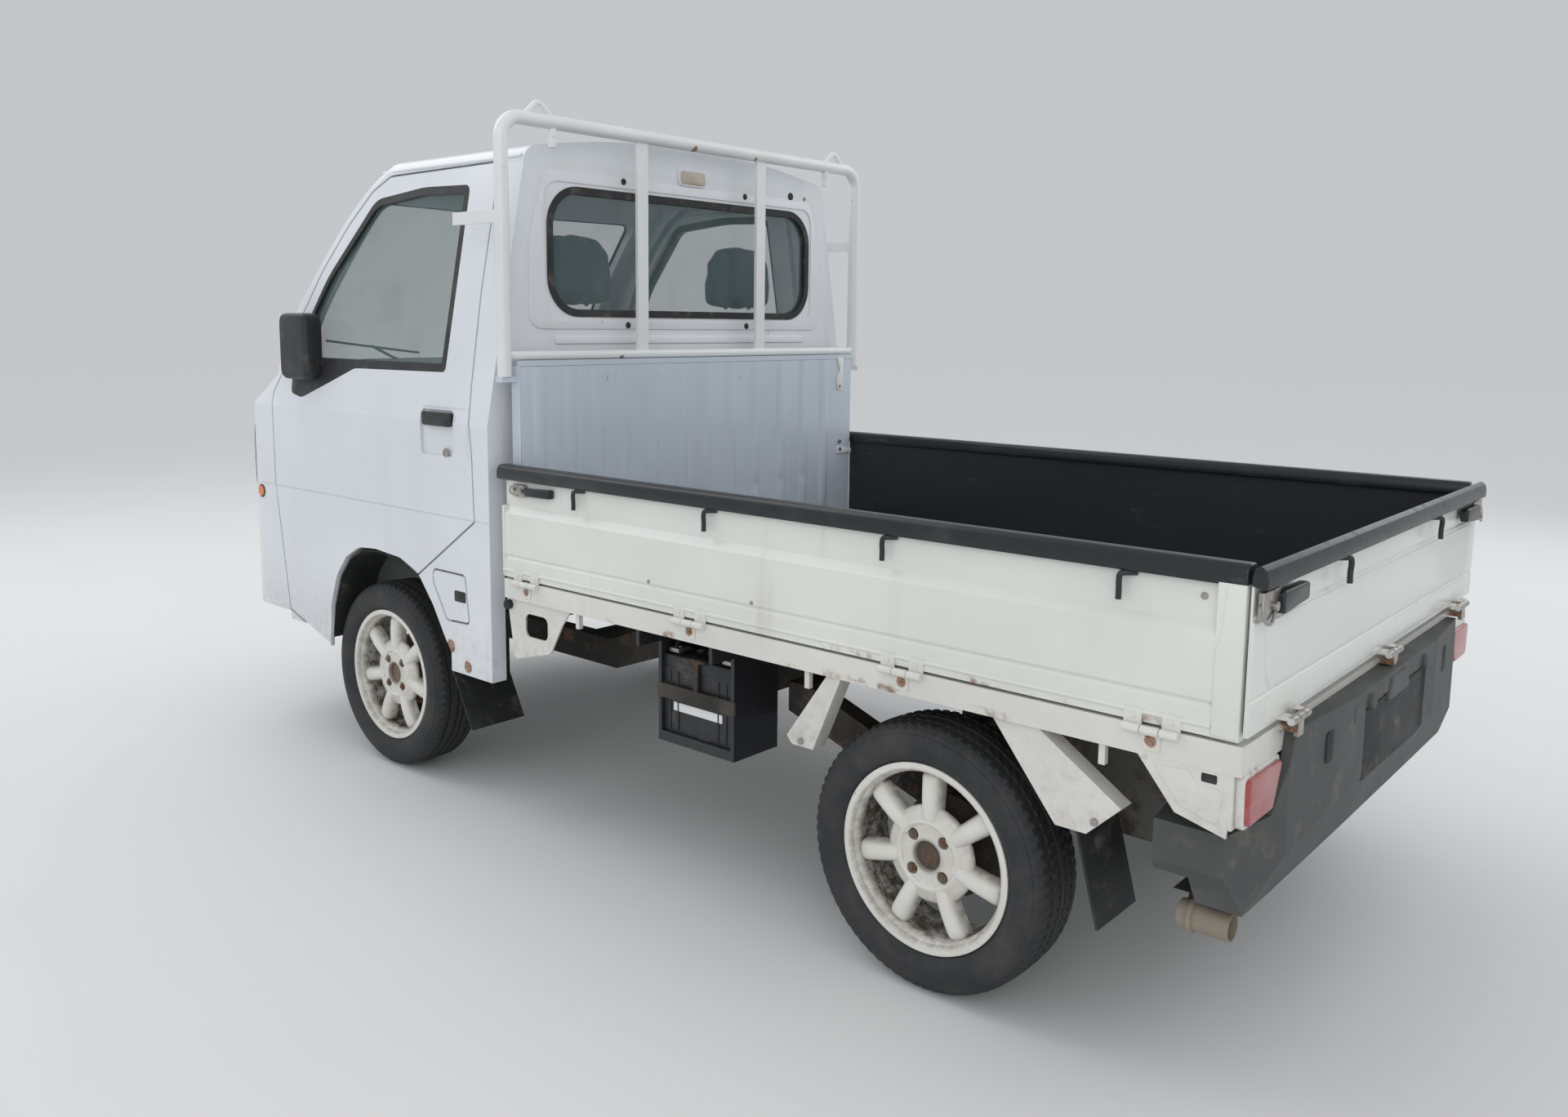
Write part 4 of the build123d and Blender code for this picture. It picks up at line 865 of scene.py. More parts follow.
def add_camera(scene, focal):
    """The camera that took the photo."""
    azimuth, elevation, roll = (math.radians(a) for a in CAMERA_TURN)
    back = Vector((math.sin(azimuth) * math.cos(elevation), -math.cos(azimuth) * math.cos(elevation),
                   math.sin(elevation)))
    clear()
    bpy.ops.object.camera_add(location=CAMERA_PLACE)
    camera = bpy.context.object
    camera.name = "photo_camera"
    turn = (-back).to_track_quat("-Z", "Y").to_matrix() @ Matrix.Rotation(roll, 3, "Z")
    camera.rotation_euler = turn.to_euler()
    camera.data.sensor_width = 36
    camera.data.lens = focal
    camera.data.shift_x, camera.data.shift_y = CAMERA_SHIFT
    camera.data.clip_end = 200
    scene.camera = camera


class TRUCK_OT_stage(TruckPieces, bpy.types.Operator):
    """Adds the floor, the room, the lamps and the camera"""
    bl_idname = "truck.stage"
    bl_label = "Stage"

    def execute(self, context):
        sizes = context.scene.truck_stage
        clear()
        bpy.ops.mesh.primitive_plane_add(size=sizes.floor_size)
        floor = bpy.context.object
        floor.name = "floor"
        look = Look("floor", Roughness=0.85)
        look.set("Base Color", look.mix(look.noise(1.4, 3), tuple(sizes.floor_color),
                                        shade(sizes.floor_color, 1.04)))
        floor.data.materials.append(look.material)
        light_room(context.scene, sizes.sky_color)
        for name, spot, aim, size, power in LAMPS:
            clear()
            bpy.ops.object.light_add(type="AREA", location=spot)
            lamp = bpy.context.object
            lamp.name = name
            lamp.data.size = size
            lamp.data.energy = power
            lamp.rotation_euler = (Vector(aim) - Vector(spot)).to_track_quat("-Z", "Y").to_euler()
        add_camera(context.scene, sizes.lens)
        context.scene.view_settings.view_transform = "Standard"
        return {"FINISHED"}


# Half of the tyre's outline from the bead to the middle, radius and y in millimetres
TYRE_HALF = (
    (192.5, 59.5), (196, 64), (202, 69.5), (212, 74.6), (224, 77.3), (235, 77.0), (244, 74.6), (249, 73.8),
    (251, 71.2), (257, 68.6), (262, 65), (266.5, 60.5), (269, 54), (270, 47), (270.4, 40), (263.8, 38.5),
    (263.8, 33.5), (271, 32), (271.4, 22), (271.8, 13), (264.6, 11.5), (264.6, 6.5), (272, 5), (272, 0),
)
SHOULDER_R = 0.268
# How many steps the cross cuts lag at each radius of the tread in millimetres
SIPE_ROWS = {262: 0, 266.5: 0, 269: 1, 270: 1, 270.4: 2, 271: 0, 271.4: 1, 271.8: 2}


class TRUCK_OT_tyres(TruckPieces, bpy.types.Operator):
    """Adds four tyres with grooves and cross cuts for the plain ones"""
    bl_idname = "truck.tyres"
    bl_label = "Tyres"

    def execute(self, context):
        sizes = context.scene.truck_wheels
        right = [(radius, -y) for radius, y in reversed(TYRE_HALF[:-1])]
        first = turned("tyre_shape", [(178.4, -57.6), (178.4, 57.6), *TYRE_HALF, *right], sizes.steps)
        for vertex in first.data.vertices:
            x, y, z = vertex.co
            radius = math.hypot(x, z)
            row = SIPE_ROWS.get(round(radius / MM, 1))
            if row is None:
                continue
            step = round(math.atan2(z, x) / (2 * math.pi) * sizes.steps)
            lean = row if y > 0 else -row
            if (step + lean) % 3 == 0:
                less = 1 - sizes.sipe_depth / radius
                vertex.co = (x * less, y * (less if radius < SHOULDER_R else 1), z * less)
        for name, (x, side) in WHEELS.items():
            tyre = twin(first, "tread_" + name, side < 0, (x, side * WHEEL_Y, AXLE_Z))
            place(tyre, "wheel_" + name, "tyre", "tyre", 28)
            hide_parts("tyre_" + name)
        bpy.data.objects.remove(first)
        return {"FINISHED"}


# Closed outlines of the rim, radius and y in millimetres
RIM_BARREL = (
    (171, -61), (186, -64), (191, -63.5), (191, -58), (178, -58), (178, 58), (191, 58), (191, 63.5),
    (187, 64.4), (178, 63.6), (175.5, 61), (174.5, 52), (171.5, 49), (168.5, 44), (168, 30), (171, 22),
)
RIM_HUB = (
    (29, 20), (29, 43), (31, 45.6), (36, 45.6), (38, 43), (61, 43), (63.5, 46), (67, 48.4), (71, 47.6),
    (76, 43.5), (88, 40), (96, 36.5), (99, 31), (98, 24), (80, 19), (66, 18),
)
HUB_END = ((0, 30), (0, 35), (9, 36), (12, 40), (15, 40.5), (18, 38), (28.2, 37), (28.2, 30))


def spoke_point(u, v):
    """Point of a spoke's rounded face: u runs outwards, v across; sizes in millimetres."""
    foot, reach, edge_y, crown_y = 60, 113, 27, 43
    v = 2 * v - 1
    radius = foot + reach * u
    half = 18.5 + 5 * u
    end = max(0, (u - 0.8) / 0.2)
    half *= 1 - 0.28 * end ** 3
    top = crown_y + 8.5 * math.sin(math.pi * min(1, u * 0.8 + 0.12)) - 9 * end ** 3
    y = edge_y + (top - edge_y) * max(0, 1 - abs(v) ** 2.5) ** 0.5
    return Vector((v * half * MM, y * MM, radius * MM))


class TRUCK_OT_rims(TruckPieces, bpy.types.Operator):
    """Adds four rims with rounded spokes and their wheel nuts"""
    bl_idname = "truck.rims"
    bl_label = "Rims"

    def execute(self, context):
        count = context.scene.truck_wheels.spokes
        hub = turned("rim_hub", RIM_HUB, 96)
        for x, z in WHEEL_BOLTS:
            cut(hub, drum("pocket", "y", x, z, 0.033, 0.08, 0.0125))
        soften(hub, 0.0012, 2, 50)
        parts = [turned("rim_barrel", RIM_BARREL, 128), hub]
        spoke = thicken(grid("spoke", 17, 15, spoke_point), (0, -0.012, 0))
        for i in range(count):
            copy = twin(spoke, "spoke_copy")
            copy.rotation_euler = (0, 2 * math.pi * i / count, 0)
            parts.append(settle(copy, "spoke_copy"))
        bpy.data.objects.remove(spoke)
        shape = join("rim_shape", parts)
        nuts = []
        for x, z in WHEEL_BOLTS:
            nuts.append(drum("nut", "y", x, z, 0.033, 0.0455, 0.0098, 0.0014, 6))
            nuts.append(drum("stud", "y", x, z, 0.044, 0.0495, 0.0052, 0.001, 16))
        nuts = join("nut_shape", nuts + [turned("hub_end", HUB_END, 48)])
        for name, (x, side) in WHEELS.items():
            move = (x, side * WHEEL_Y, AXLE_Z)
            rim = twin(shape, "alloy_" + name, side < 0, move)
            place(rim, "wheel_" + name, "alloy", "rim_white", 38)
            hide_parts("rim_" + name)
            place(twin(nuts, "wheel_nuts_" + name, side < 0, move), "wheel_" + name, "rusty", "rusty_steel")
        bpy.data.objects.remove(shape)
        bpy.data.objects.remove(nuts)
        return {"FINISHED"}


def rail_section(inner, outer):
    """Rounded section of a rail pad: across and height."""
    low, top = GATE_TOP, PAD_TOP
    return (
        (inner, low), (outer, low - 0.004), (outer, low + 0.014), (outer - 0.003, top - 0.006),
        (outer - 0.011, top), (inner + 0.011, top), (inner + 0.003, top - 0.006), (inner, top - 0.018),
    )


class TRUCK_OT_rails(TruckPieces, bpy.types.Operator):
    """Adds the rail pads, rope hooks and latches of the three gates"""
    bl_idname = "truck.rails"
    bl_label = "Rails, hooks and latches"

    def execute(self, context):
        y = HALF_WIDTH
        pad = slab("side_pad", rail_section(y - 0.045, y), "x", -1.6515, 0.2595, 0.0035, 3)
        bends = ((-0.024, -0.014, 0.904), (-0.012, -0.004, 0.904), (-0.001, 0.002, 0.903),
                 (0, 0.003, 0.890), (0, 0.001, 0.874), (0, 0.002, 0.858))
        hooks = [bent("hook", x, y, bends, HOOK_R) for x in HOOKS]
        outline = ((0.045, 0.874), (0.135, 0.872), (0.150, 0.879), (0.150, 0.892), (0.045, 0.896))
        handle = slab("handle", outline, "y", y - 0.014, y + 0.003, 0.004, 3)
        bends = ((0.196, y - 0.006, 0.894), (0.206, y - 0.003, 0.893), (0.207, y - 0.003, 0.874),
                 (0.196, y - 0.006, 0.872))
        clamp = [block("clamp", (0.150, y - 0.015, 0.868), (0.196, y - 0.002, 0.899), 0.002),
                 drum("pivot", "y", 0.160, 0.884, y - 0.004, y + 0.004, 0.006, 0.001, 20),
                 wire("bail", bends, 0.0022)]
        rails = pair(join("side_rail", [pad, handle] + hooks), "rail", GATES, "pad", "trim_black")
        for side, rail in zip("lr", rails):
            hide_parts("side_gate_trim_" + side)
        pair(join("side_clamp", clamp), "gate_clamp", GATES, "steel", "rusty_steel")
        x = TAIL_PAD_X
        pad = slab("tail_pad", rail_section(-x - 0.025, -x), "x", -y, y, 0.0035, 3)
        pad.rotation_euler = (0, 0, math.pi / 2)
        pieces = [settle(pad, "tail_pad")]
        bends = ((0.014, 0.026, 0.904), (0.004, 0.014, 0.904), (0, 0.001, 0.903), (-0.001, 0, 0.890),
                 (0.001, 0, 0.874), (0, 0, 0.856))
        pieces += [bent("hook", x, hook_y, bends, HOOK_R) for hook_y in (-0.32, 0.32)]
        clamps = []
        for s in (-1, 1):
            start, end = s * 0.548, s * 0.668
            outline = rounded(((start, 0.866), (start, 0.896), (end, 0.896), (end, 0.858)), 0.009)
            pieces.append(slab("handle", outline, "x", x - 0.004, x + 0.014, 0.004, 3))
            low, high = sorted((s * 0.660, s * 0.732))
            clamps.append(block("clamp", (x + 0.006, low, 0.856), (x + 0.016, high, 0.902), 0.002))
            clamps.append(drum("pivot", "x", s * 0.690, 0.876, x - 0.002, x + 0.009, 0.008, 0.001, 20))
            bends = ((0.004, 0.690, 0.868), (0, 0.704, 0.850), (0.004, 0.728, 0.852), (0.006, 0.735, 0.872),
                     (0.010, 0.728, 0.894))
            clamps.append(wire("bail", [(x + dx, s * dy, z) for dx, dy, z in bends], 0.0026))
        rail = place(join("rail_tail", pieces), "tailgate", "pad", "trim_black")
        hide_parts("tailgate_trim")
        place(join("tail_clamps", clamps), "tailgate", "steel", "rusty_steel")
        return {"FINISHED"}


def sleeve(axis, a, b, middle, half):
    """Rolled tube of a hinge."""
    return drum("sleeve", axis, a, b, middle - half, middle + half, 0.0078, 0.0012, 24)


def leaf(x, low, high, bolt_z):
    """Leaf of a side hinge with its bolt."""
    return [block("leaf", (x - 0.015, 0.7372, low), (x + 0.015, 0.7402, high), 0.001),
            drum("bolt", "y", x, bolt_z, 0.740, 0.7425, 0.0045, 0.001, 16)]


class TRUCK_OT_hinges(TruckPieces, bpy.types.Operator):
    """Adds the rolled sleeves, leaves and bolts of the gate hinges"""
    bl_idname = "truck.hinges"
    bl_label = "Hinges"

    def execute(self, context):
        y, z = GATE_AXIS
        gate, body = [], []
        for x in GATE_HINGES:
            for near in (x - 0.033, x + 0.033):
                gate += [sleeve("x", y, z, near, 0.0158), *leaf(near, z + 0.004, z + 0.032, z + 0.020)]
            body += [sleeve("x", y, z, x, 0.0158), *leaf(x, z - 0.034, z - 0.004, z - 0.022)]
        pair(join("gate_sleeves", gate), "gate_hinges", GATES, "sill", "cream_paint")
        pair(join("body_sleeves", body), "sill_hinges", ROOTS, "sill", "cream_paint")
        x, z = TAIL_AXIS
        moving, fixed = [], []
        for y in TAIL_HINGES:
            moving += [sleeve("y", x, z, near, 0.0128) for near in (y - 0.028, y + 0.028)]
            fixed.append(sleeve("y", x, z, y, 0.0128))
            fixed.append(block("leaf", (x - 0.0048, y - 0.012, 0.636), (x + 0.004, y + 0.012, z), 0.001))
        place(join("tail_sleeves", moving), "tailgate", "steel", "rusty_steel")
        place(join("tail_hinge_leaves", fixed), "root", "steel", "rusty_steel")
        return {"FINISHED"}


class TRUCK_OT_gates(TruckPieces, bpy.types.Operator):
    """Adds the end posts, folded edges and rivets of the side gates and the pressed fields of the tailgate"""
    bl_idname = "truck.gates"
    bl_label = "Gate pressings"

    def execute(self, context):
        outline = ((-1.6513, 0.661), (-1.6065, 0.661), (-1.6065, 0.800), (-1.616, 0.835), (-1.621, 0.9095),
                   (-1.6513, 0.9095))
        edges = [
            slab("post", outline, "y", 0.713, 0.7405, 0.0035, 3),
            drum("bead", "x", 0.7362, 0.6758, -1.6065, 0.2335, 0.0042, 0, 16),
            block("flange", (0.2270, 0.7055, 0.662), (0.2355, 0.7388, 0.842), 0.0015),
            block("flange", (0.2270, 0.7055, 0.842), (0.2355, 0.7235, 0.909), 0.0015),
        ]
        pair(join("gate_edges", edges), "gate_edges", GATES, "gate", "cream_paint")
        rivets = [drum("rivet", "y", x, 0.882, 0.7205, 0.7245, 0.0062, 0.0015, 20) for x in (-1.579, -1.6125)]
        rivets += [drum("screw", "y", x, 0.7215, 0.7365, 0.7390, 0.0045, 0.001, 12) for x in (-0.305, -0.62)]
        pair(join("gate_rivets", rivets), "gate_rivets", GATES, "steel", "rusty_steel")
        half = ((0.655, 0.733), (0.672, 0.760), (0.676, 0.800), (0.690, 0.847))
        outline = [*half, *[(-y, z) for y, z in reversed(half)]]
        field = slab("field", rounded(outline, 0.006, 2), "x", -1.6672, -1.6602, 0.0026, 3)
        low = slab("low_field", oblong(0, 0.6968, 0.66, 0.0228, 0.005, 3), "x", -1.6668, -1.6602, 0.0022, 3)
        place(join("tail_fields", [field, low]), "tailgate", "tail", "cream_paint")
        return {"FINISHED"}


class TRUCK_OT_doors(TruckPieces, bpy.types.Operator):
    """Adds the mirror shells, handles, locks and side markers"""
    bl_idname = "truck.doors"
    bl_label = "Door fittings"

    def execute(self, context):
        trim = [
            slab("shell", oblong(1.2215, 1.224, 0.078, 0.099, 0.034, 6), "y", 0.7085, 0.7665, 0.013, 4),
            slab("handle", oblong(0.5135, 1.045, 0.066, 0.019, 0.010), "y", 0.7368, 0.7440, 0.003, 3),
            slab("pull", oblong(0.5065, 1.0435, 0.048, 0.011, 0.006), "y", 0.7400, 0.7458, 0.002, 2),
        ]
        pair(join("door_shells", trim), "door_shells", DOORS, "trim", "trim_black")
        lock = [drum("lock", "y", 0.478, 0.957, 0.7350, 0.7388, 0.012, 0.0015, 28),
                block("key_slot", (0.4768, 0.7380, 0.9515), (0.4792, 0.7392, 0.9625), 0.0005)]
        pair(join("door_locks", lock), "door_locks", DOORS, "steel", "rusty_steel")
        notch = slab("lid_notch", oblong(0.4285, 0.573, 0.0255, 0.015, 0.006), "y", 0.7352, 0.7379, 0.0008)
        place(notch, "fuel_lid", "trim", "trim_black")
        lens_cap = drum("marker_lens", "y", *MARKER, 0.7350, 0.7425, 0.0175, 0.0045, 32)
        pair(lens_cap, "marker_lens", ROOTS, "amber", "lamp_red")
        ring = drum("marker_ring", "y", *MARKER, 0.7345, 0.7392, 0.0210, 0.0015, 32)
        pair(ring, "marker_ring", ROOTS, "rubber", "rubber_black")
        y = skin(("bed_frame",), (0.226, 1.0, 0.584), (0, -1, 0)).y
        stop = drum("sill_stop", "y", 0.226, 0.584, y - 0.002, y + 0.014, 0.0125, 0.003, 24)
        pair(stop, "sill_stop", ROOTS, "rubber", "rubber_black")
        return {"FINISHED"}


# Places of the headboard's ribs in y
RIBS = (0.626, 0.525, 0.430, 0.335, 0.225, 0.116, 0.012, -0.095, -0.208, -0.326, -0.435, -0.540)
RIB_HALF, RIB_DEPTH = 0.021, 0.0058
# Middles of the headboard's dents in y and z
DENTS = ((-0.208, 0.808), (-0.326, 0.815), (-0.435, 0.822), (-0.500, 0.835), (0.30, 0.93))


def board_point(u, v):
    """Point of the headboard's ribbed sheet: u across, v upwards."""
    y, z = -0.684 + 1.368 * u, 0.6545 + 0.536 * v
    rib = max(max(0, 1 - abs(abs(y - at_y) / RIB_HALF) ** 3) for at_y in RIBS)
    rib *= min(1, max(0, (z - 0.69) / 0.03))
    dent = sum(math.exp(-((y - a) ** 2 + (z - b) ** 2) / 0.00028) for a, b in DENTS)
    wave = math.sin(y * 11 + z * 4) * math.sin(z * 9) * 0.0006
    return Vector((0.2202 - RIB_DEPTH * rib + 0.003 * dent * (0.4 + rib) + wave, y, z))


class TRUCK_OT_cab_back(TruckPieces, bpy.types.Operator):
    """Adds the pressings, plugs and gutters of the cab's back and the ribbed sheet of the headboard"""
    bl_idname = "truck.cab_back"
    bl_label = "Cab back and headboard"

    def execute(self, context):
        x = CAB_BACK
        outline = rounded(((-0.60, 1.285), (0.60, 1.285), (0.596, 1.52), (0.54, 1.698), (-0.54, 1.698),
                           (-0.596, 1.52)), 0.05, 6)
        field = slab("field", outline, "x", x - 0.0035, x + 0.006, 0.003, 3)
        cut(field, slab("window_room", oblong(0, 1.4905, 0.548, 0.1815, 0.055, 8), "x", x - 0.02, x + 0.02))
        bead = slab("bead", oblong(0, 1.2565, 0.515, 0.0115, 0.008), "x", x - 0.004, x + 0.004, 0.0035, 3)
        place(join("back_pressings", [field, bead]), "root", "cab_back", "white_paint")
        plugs = [drum("plug", "x", y, z, x - 0.0058, x, 0.009, 0.0015, 20)
                 for y, z in ((0.270, 1.690), (-0.227, 1.690), (0.256, 1.297), (-0.237, 1.297))]
        plugs.append(drum("hole", "x", -0.446, 1.7085, x - 0.0012, x + 0.002, 0.0125, 0.0005, 24))
        place(join("back_plugs", plugs), "root", "rubber", "rubber_black")
        sheet = thicken(grid("board_sheet", 230, 44, board_point), (0.0012, 0, 0))
        place(sheet, "root", "board", "pale_blue_paint", 60)
        spots = ((-0.622, 1.102), (-0.626, 0.918), (-0.627, 0.891), (0.627, 0.891), (0.626, 0.918))
        bolts = [hexagon("x", y, z, 0.2150, 0.2225) for y, z in spots]
        bolts += [hexagon("x", y, 1.772, 0.2325, 0.2385, 0.007) for y in (-0.555, 0.555)]
        place(join("board_bolts", bolts), "root", "steel", "rusty_steel")
        outline = rounded(((-0.606, 1.196), (-0.640, 1.196), (-0.640, 1.150), (-0.636, 1.090),
                           (-0.610, 1.090), (-0.606, 1.130), (-0.622, 1.155)), 0.008, 4)
        arm = slab("arm", outline, "x", 0.2165, 0.2205, 0.001)
        outline = rounded(((-0.615, 0.902), (-0.615, 0.876), (-0.690, 0.876), (-0.690, 0.890)), 0.004, 3)
        hook = slab("hook", outline, "x", 0.2165, 0.2205, 0.001)
        place(join("board_brackets", [arm, hook]), "root", "guard", "white_paint")
        rims = []
        for side in (1, -1):
            path = [skin(("cab_roof", "cab_sides", "cab_front"), (x, side, 1.7275), (0, -side, 0))
                    for x in (0.302, 0.40, 0.55, 0.70, 0.85, 0.96)]
            rims.append(wire("gutter", [(p.x, p.y + side * 0.001, p.z) for p in path], 0.0052))
        place(join("roof_gutters", rims), "root", "body", "white_paint")
        return {"FINISHED"}


class TRUCK_OT_tail(TruckPieces, bpy.types.Operator):
    """Adds the rear lamps and the fittings of the rear bumper and the tail skirts"""
    bl_idname = "truck.tail"
    bl_label = "Tail"

    def execute(self, context):
        outline = rounded(((0.573, 0.596), (0.7250, 0.596), (0.7210, 0.518), (0.611, 0.518)), 0.011, 4)
        lenses = slab("tail_lens", outline, "x", -1.6705, -1.6530, 0.0045, 4)
        outline = rounded(((0.564, 0.603), (0.729, 0.603), (0.7255, 0.511), (0.602, 0.511)), 0.014, 4)
        bezels = slab("tail_bezel", outline, "x", -1.6625, -1.6478, 0.003, 3)
        high = slab("high_lens", oblong(0, 1.7235, 0.050, 0.0185, 0.013), "x", 0.2830, 0.2925, 0.003, 3)
        rim = slab("high_rim", oblong(0, 1.7235, 0.057, 0.0245, 0.018), "x", 0.2872, 0.2935, 0.002, 3)
        lamps = [*pair(lenses, "tail_lens", ROOTS, "red", "lamp_red"),
                 *pair(bezels, "tail_bezel", ROOTS, "sill", "white_plastic"),
                 place(high, "root", "beige", "lamp_red"), place(rim, "root", "cab_back", "white_plastic")]
        for lamp in lamps:
            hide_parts("rear_lamps")
        slots = slab("skirt_slot", oblong(-1.6085, 0.590, 0.013, 0.0075, 0.003), "y", 0.7345, 0.7366, 0.0005)
        pair(slots, "skirt_slot", ROOTS, "rubber", "rubber_black")
        outline = rounded(((-1.513, 0.592), (-1.562, 0.532), (-1.626, 0.516), (-1.632, 0.574),
                           (-1.585, 0.578), (-1.575, 0.596)), 0.007, 4)
        field = slab("skirt_field", outline, "y", 0.7340, 0.7380, 0.0018, 3)
        pair(field, "skirt_field", ROOTS, "sill", "cream_paint")
        x = TAIL_X
        well = slab("well", oblong(0, 0.525, 0.205, 0.070, 0.018), "x", x + 0.0040, x + 0.0085, 0.001)
        outline = oblong(0.27, 0.606, 0.016, 0.016, 0.012, 6)
        ring = slab("ring", outline, "x", x - 0.0015, x + 0.004, 0.0015, 3)
        buffers = [drum("buffer", "x", y, 0.612, x - 0.0095, x + 0.006, 0.0155, 0.004, 28)
                   for y in (-0.19, 0.19)]
        outline = rounded(((-0.075, 0.585), (0.075, 0.585), (0.055, 0.628), (-0.055, 0.628)), 0.008, 4)
        housing = slab("housing", outline, "x", x - 0.004, x + 0.006, 0.003, 3)
        place(join("bumper_fittings", [ring, housing] + buffers), "root", "weathered", "bumper_grey")
        place(well, "root", "rubber", "rubber_black")
        slots = []
        for y in (-0.395, 0.395):
            face = skin(("rear_bumper",), (-2.2, y, 0.575), (1, 0, 0)).x
            outline = oblong(y, 0.575, 0.021, 0.029, 0.012, 6)
            slots.append(slab("slot", outline, "x", face - 0.0012, face + 0.003, 0.0008))
        place(join("bumper_slots", slots), "root", "rubber", "rubber_black")
        tip = drum("tip", "x", *EXHAUST, -1.612, -1.520, 0.0255, 0.002, 32)
        cut(tip, drum("bore", "x", *EXHAUST, -1.65, -1.535, 0.0225, 0, 32))
        collar = drum("collar", "x", *EXHAUST, -1.548, -1.538, 0.0305, 0.002, 32)
        place(join("exhaust_tip", [tip, collar]), "root", "pipe", "rusty_steel")
        return {"FINISHED"}


class TRUCK_OT_underside(TruckPieces, bpy.types.Operator):
    """Adds the battery's lid and strap, the springs, the stay bolts and the wheel arch liners"""
    bl_idname = "truck.underside"
    bl_label = "Underside"

    def execute(self, context):
        case = [block("lid", (-0.4912, 0.5185, 0.500), (-0.2648, 0.6515, 0.5325), 0.004, 3)]
        case += [drum("cap", "z", -0.46 + 0.034 * i, 0.585, 0.531, 0.5395, 0.0115, 0.002, 20)
                 for i in range(6)]
        case += [block("rib", (x - 0.002, 0.649, 0.352), (x + 0.002, 0.6522, 0.495), 0.0008)
                 for x in (-0.468, -0.443, -0.313, -0.288)]
        place(join("battery_top", case), "root", "battery", "battery_black")
        poles = (-0.464, -0.292)
        ends = [drum("post", "z", x, 0.624, 0.531, 0.549, 0.0085, 0.0015, 20) for x in poles]
        ends += [block("clamp", (x - 0.016, 0.606, 0.536), (x + 0.016, 0.645, 0.547), 0.002) for x in poles]
        place(join("battery_ends", ends), "root", "steel", "rusty_steel")
        outline = rounded(((-0.502, 0.427), (-0.254, 0.427), (-0.254, 0.462), (-0.502, 0.462)), 0.004, 3)
        strap = [slab("strap", outline, "y", 0.6535, 0.6625, 0.002, 3),
                 block("tie", (-0.385, 0.6535, 0.458), (-0.371, 0.6605, 0.537), 0.0015),
                 block("tie_top", (-0.408, 0.6400, 0.528), (-0.348, 0.6605, 0.5365), 0.0015)]
        place(join("battery_strap", strap), "root", "chassis", "rusty_steel")
        label = block("pale_strip", (-0.455, 0.6495, 0.399), (-0.298, 0.6512, 0.4195), 0.0004)
        place(label, "root", "guard", "white_plastic")
        bends = ((0, 0.640, 0.541), (0, 0.625, 0.575), (0.01, 0.56, 0.590), (0.03, 0.48, 0.560),
                 (0.05, 0.42, 0.520), (0.06, 0.36, 0.505))
        leads = [bent("lead", x, 0, bends, 0.005) for x in poles]
        place(join("battery_leads", leads), "root", "rubber", "rubber_black")
        turns, height, radius, steps = 5.5, 0.262, 0.046, 12
        path = []
        for i in range(int(steps * turns) + 1):
            angle = 2 * math.pi * i / steps
            path.append((-1.010 + radius * math.cos(angle), 0.445 + radius * math.sin(angle),
                         0.334 + height * i / (steps * turns)))
        pair(wire("coil", path, 0.0062), "spring_coil", ROOTS, "chassis", "chassis_black")
        bolts = []
        for x, z in ((-0.750, 0.448), (-1.410, 0.458)):
            y = skin(("bed_frame",), (x, 1.0, z), (0, -1, 0)).y
            bolts.append(hexagon("y", x, z, y - 0.001, y + 0.005))
        pair(join("stay_bolts", bolts), "stay_bolts", ROOTS, "steel", "rusty_steel")
        line = [(-0.358, 0.345), (-0.358, 0.412), (-0.330, 0.448), (-0.278, 0.528), (-0.212, 0.602),
                (-0.126, 0.634), (-0.003, 0.643), (0.082, 0.637), (0.154, 0.600), (0.210, 0.538),
                (0.247, 0.448), (0.266, 0.345)]
        outer = [(FRONT_AXLE + a, b) for a, b in line]
        inner = [(FRONT_AXLE + a * 0.99, b - 0.003) for a, b in line]
        liner = slab("liner", outer + inner[::-1], "y", 0.600, 0.728)
        pair(liner, "arch_liner", ROOTS, "rubber", "rubber_black")
        return {"FINISHED"}


# Lowest edge of a head lamp and its height, and its bulb in y and z
LAMP_LOW, LAMP_TALL = 0.777, 0.178
BULB = (0.500, 0.866)


def bowl_point(u, v):
    """Point of a head lamp's bowl: u outwards, v upwards."""
    y, z = 0.397 + 0.235 * u, LAMP_LOW + LAMP_TALL * v
    deep = max(0, 1 - ((y - BULB[0]) ** 2 + (z - BULB[1]) ** 2) / 0.0085)
    return nose(y, z) - Vector((0.012 + 0.05 * deep ** 0.6, 0, 0))


def corner_point(u, v):
    """Point just under the skin of a corner lamp: u round the corner, v upwards."""
    turn = math.radians(23 + 27 * u)
    out = Vector((math.cos(turn), math.sin(turn), 0))
    start = Vector((1.492, 0.561, LAMP_LOW + LAMP_TALL * v)) + out * 0.6
    return skin(("cab_front", "front_bumper", "front_lamps"), start, -out) - out * 0.010


def nose_plate(name, y, half_y, z, half_z, proud):
    """Thin plate that follows the cab's front."""
    sheet = grid(name, max(4, round(half_y * 120)), 8, lambda u, v: nose(
        y + half_y * (2 * u - 1), z + half_z * (2 * v - 1), proud))
    return thicken(sheet, (-0.006, 0, 0))


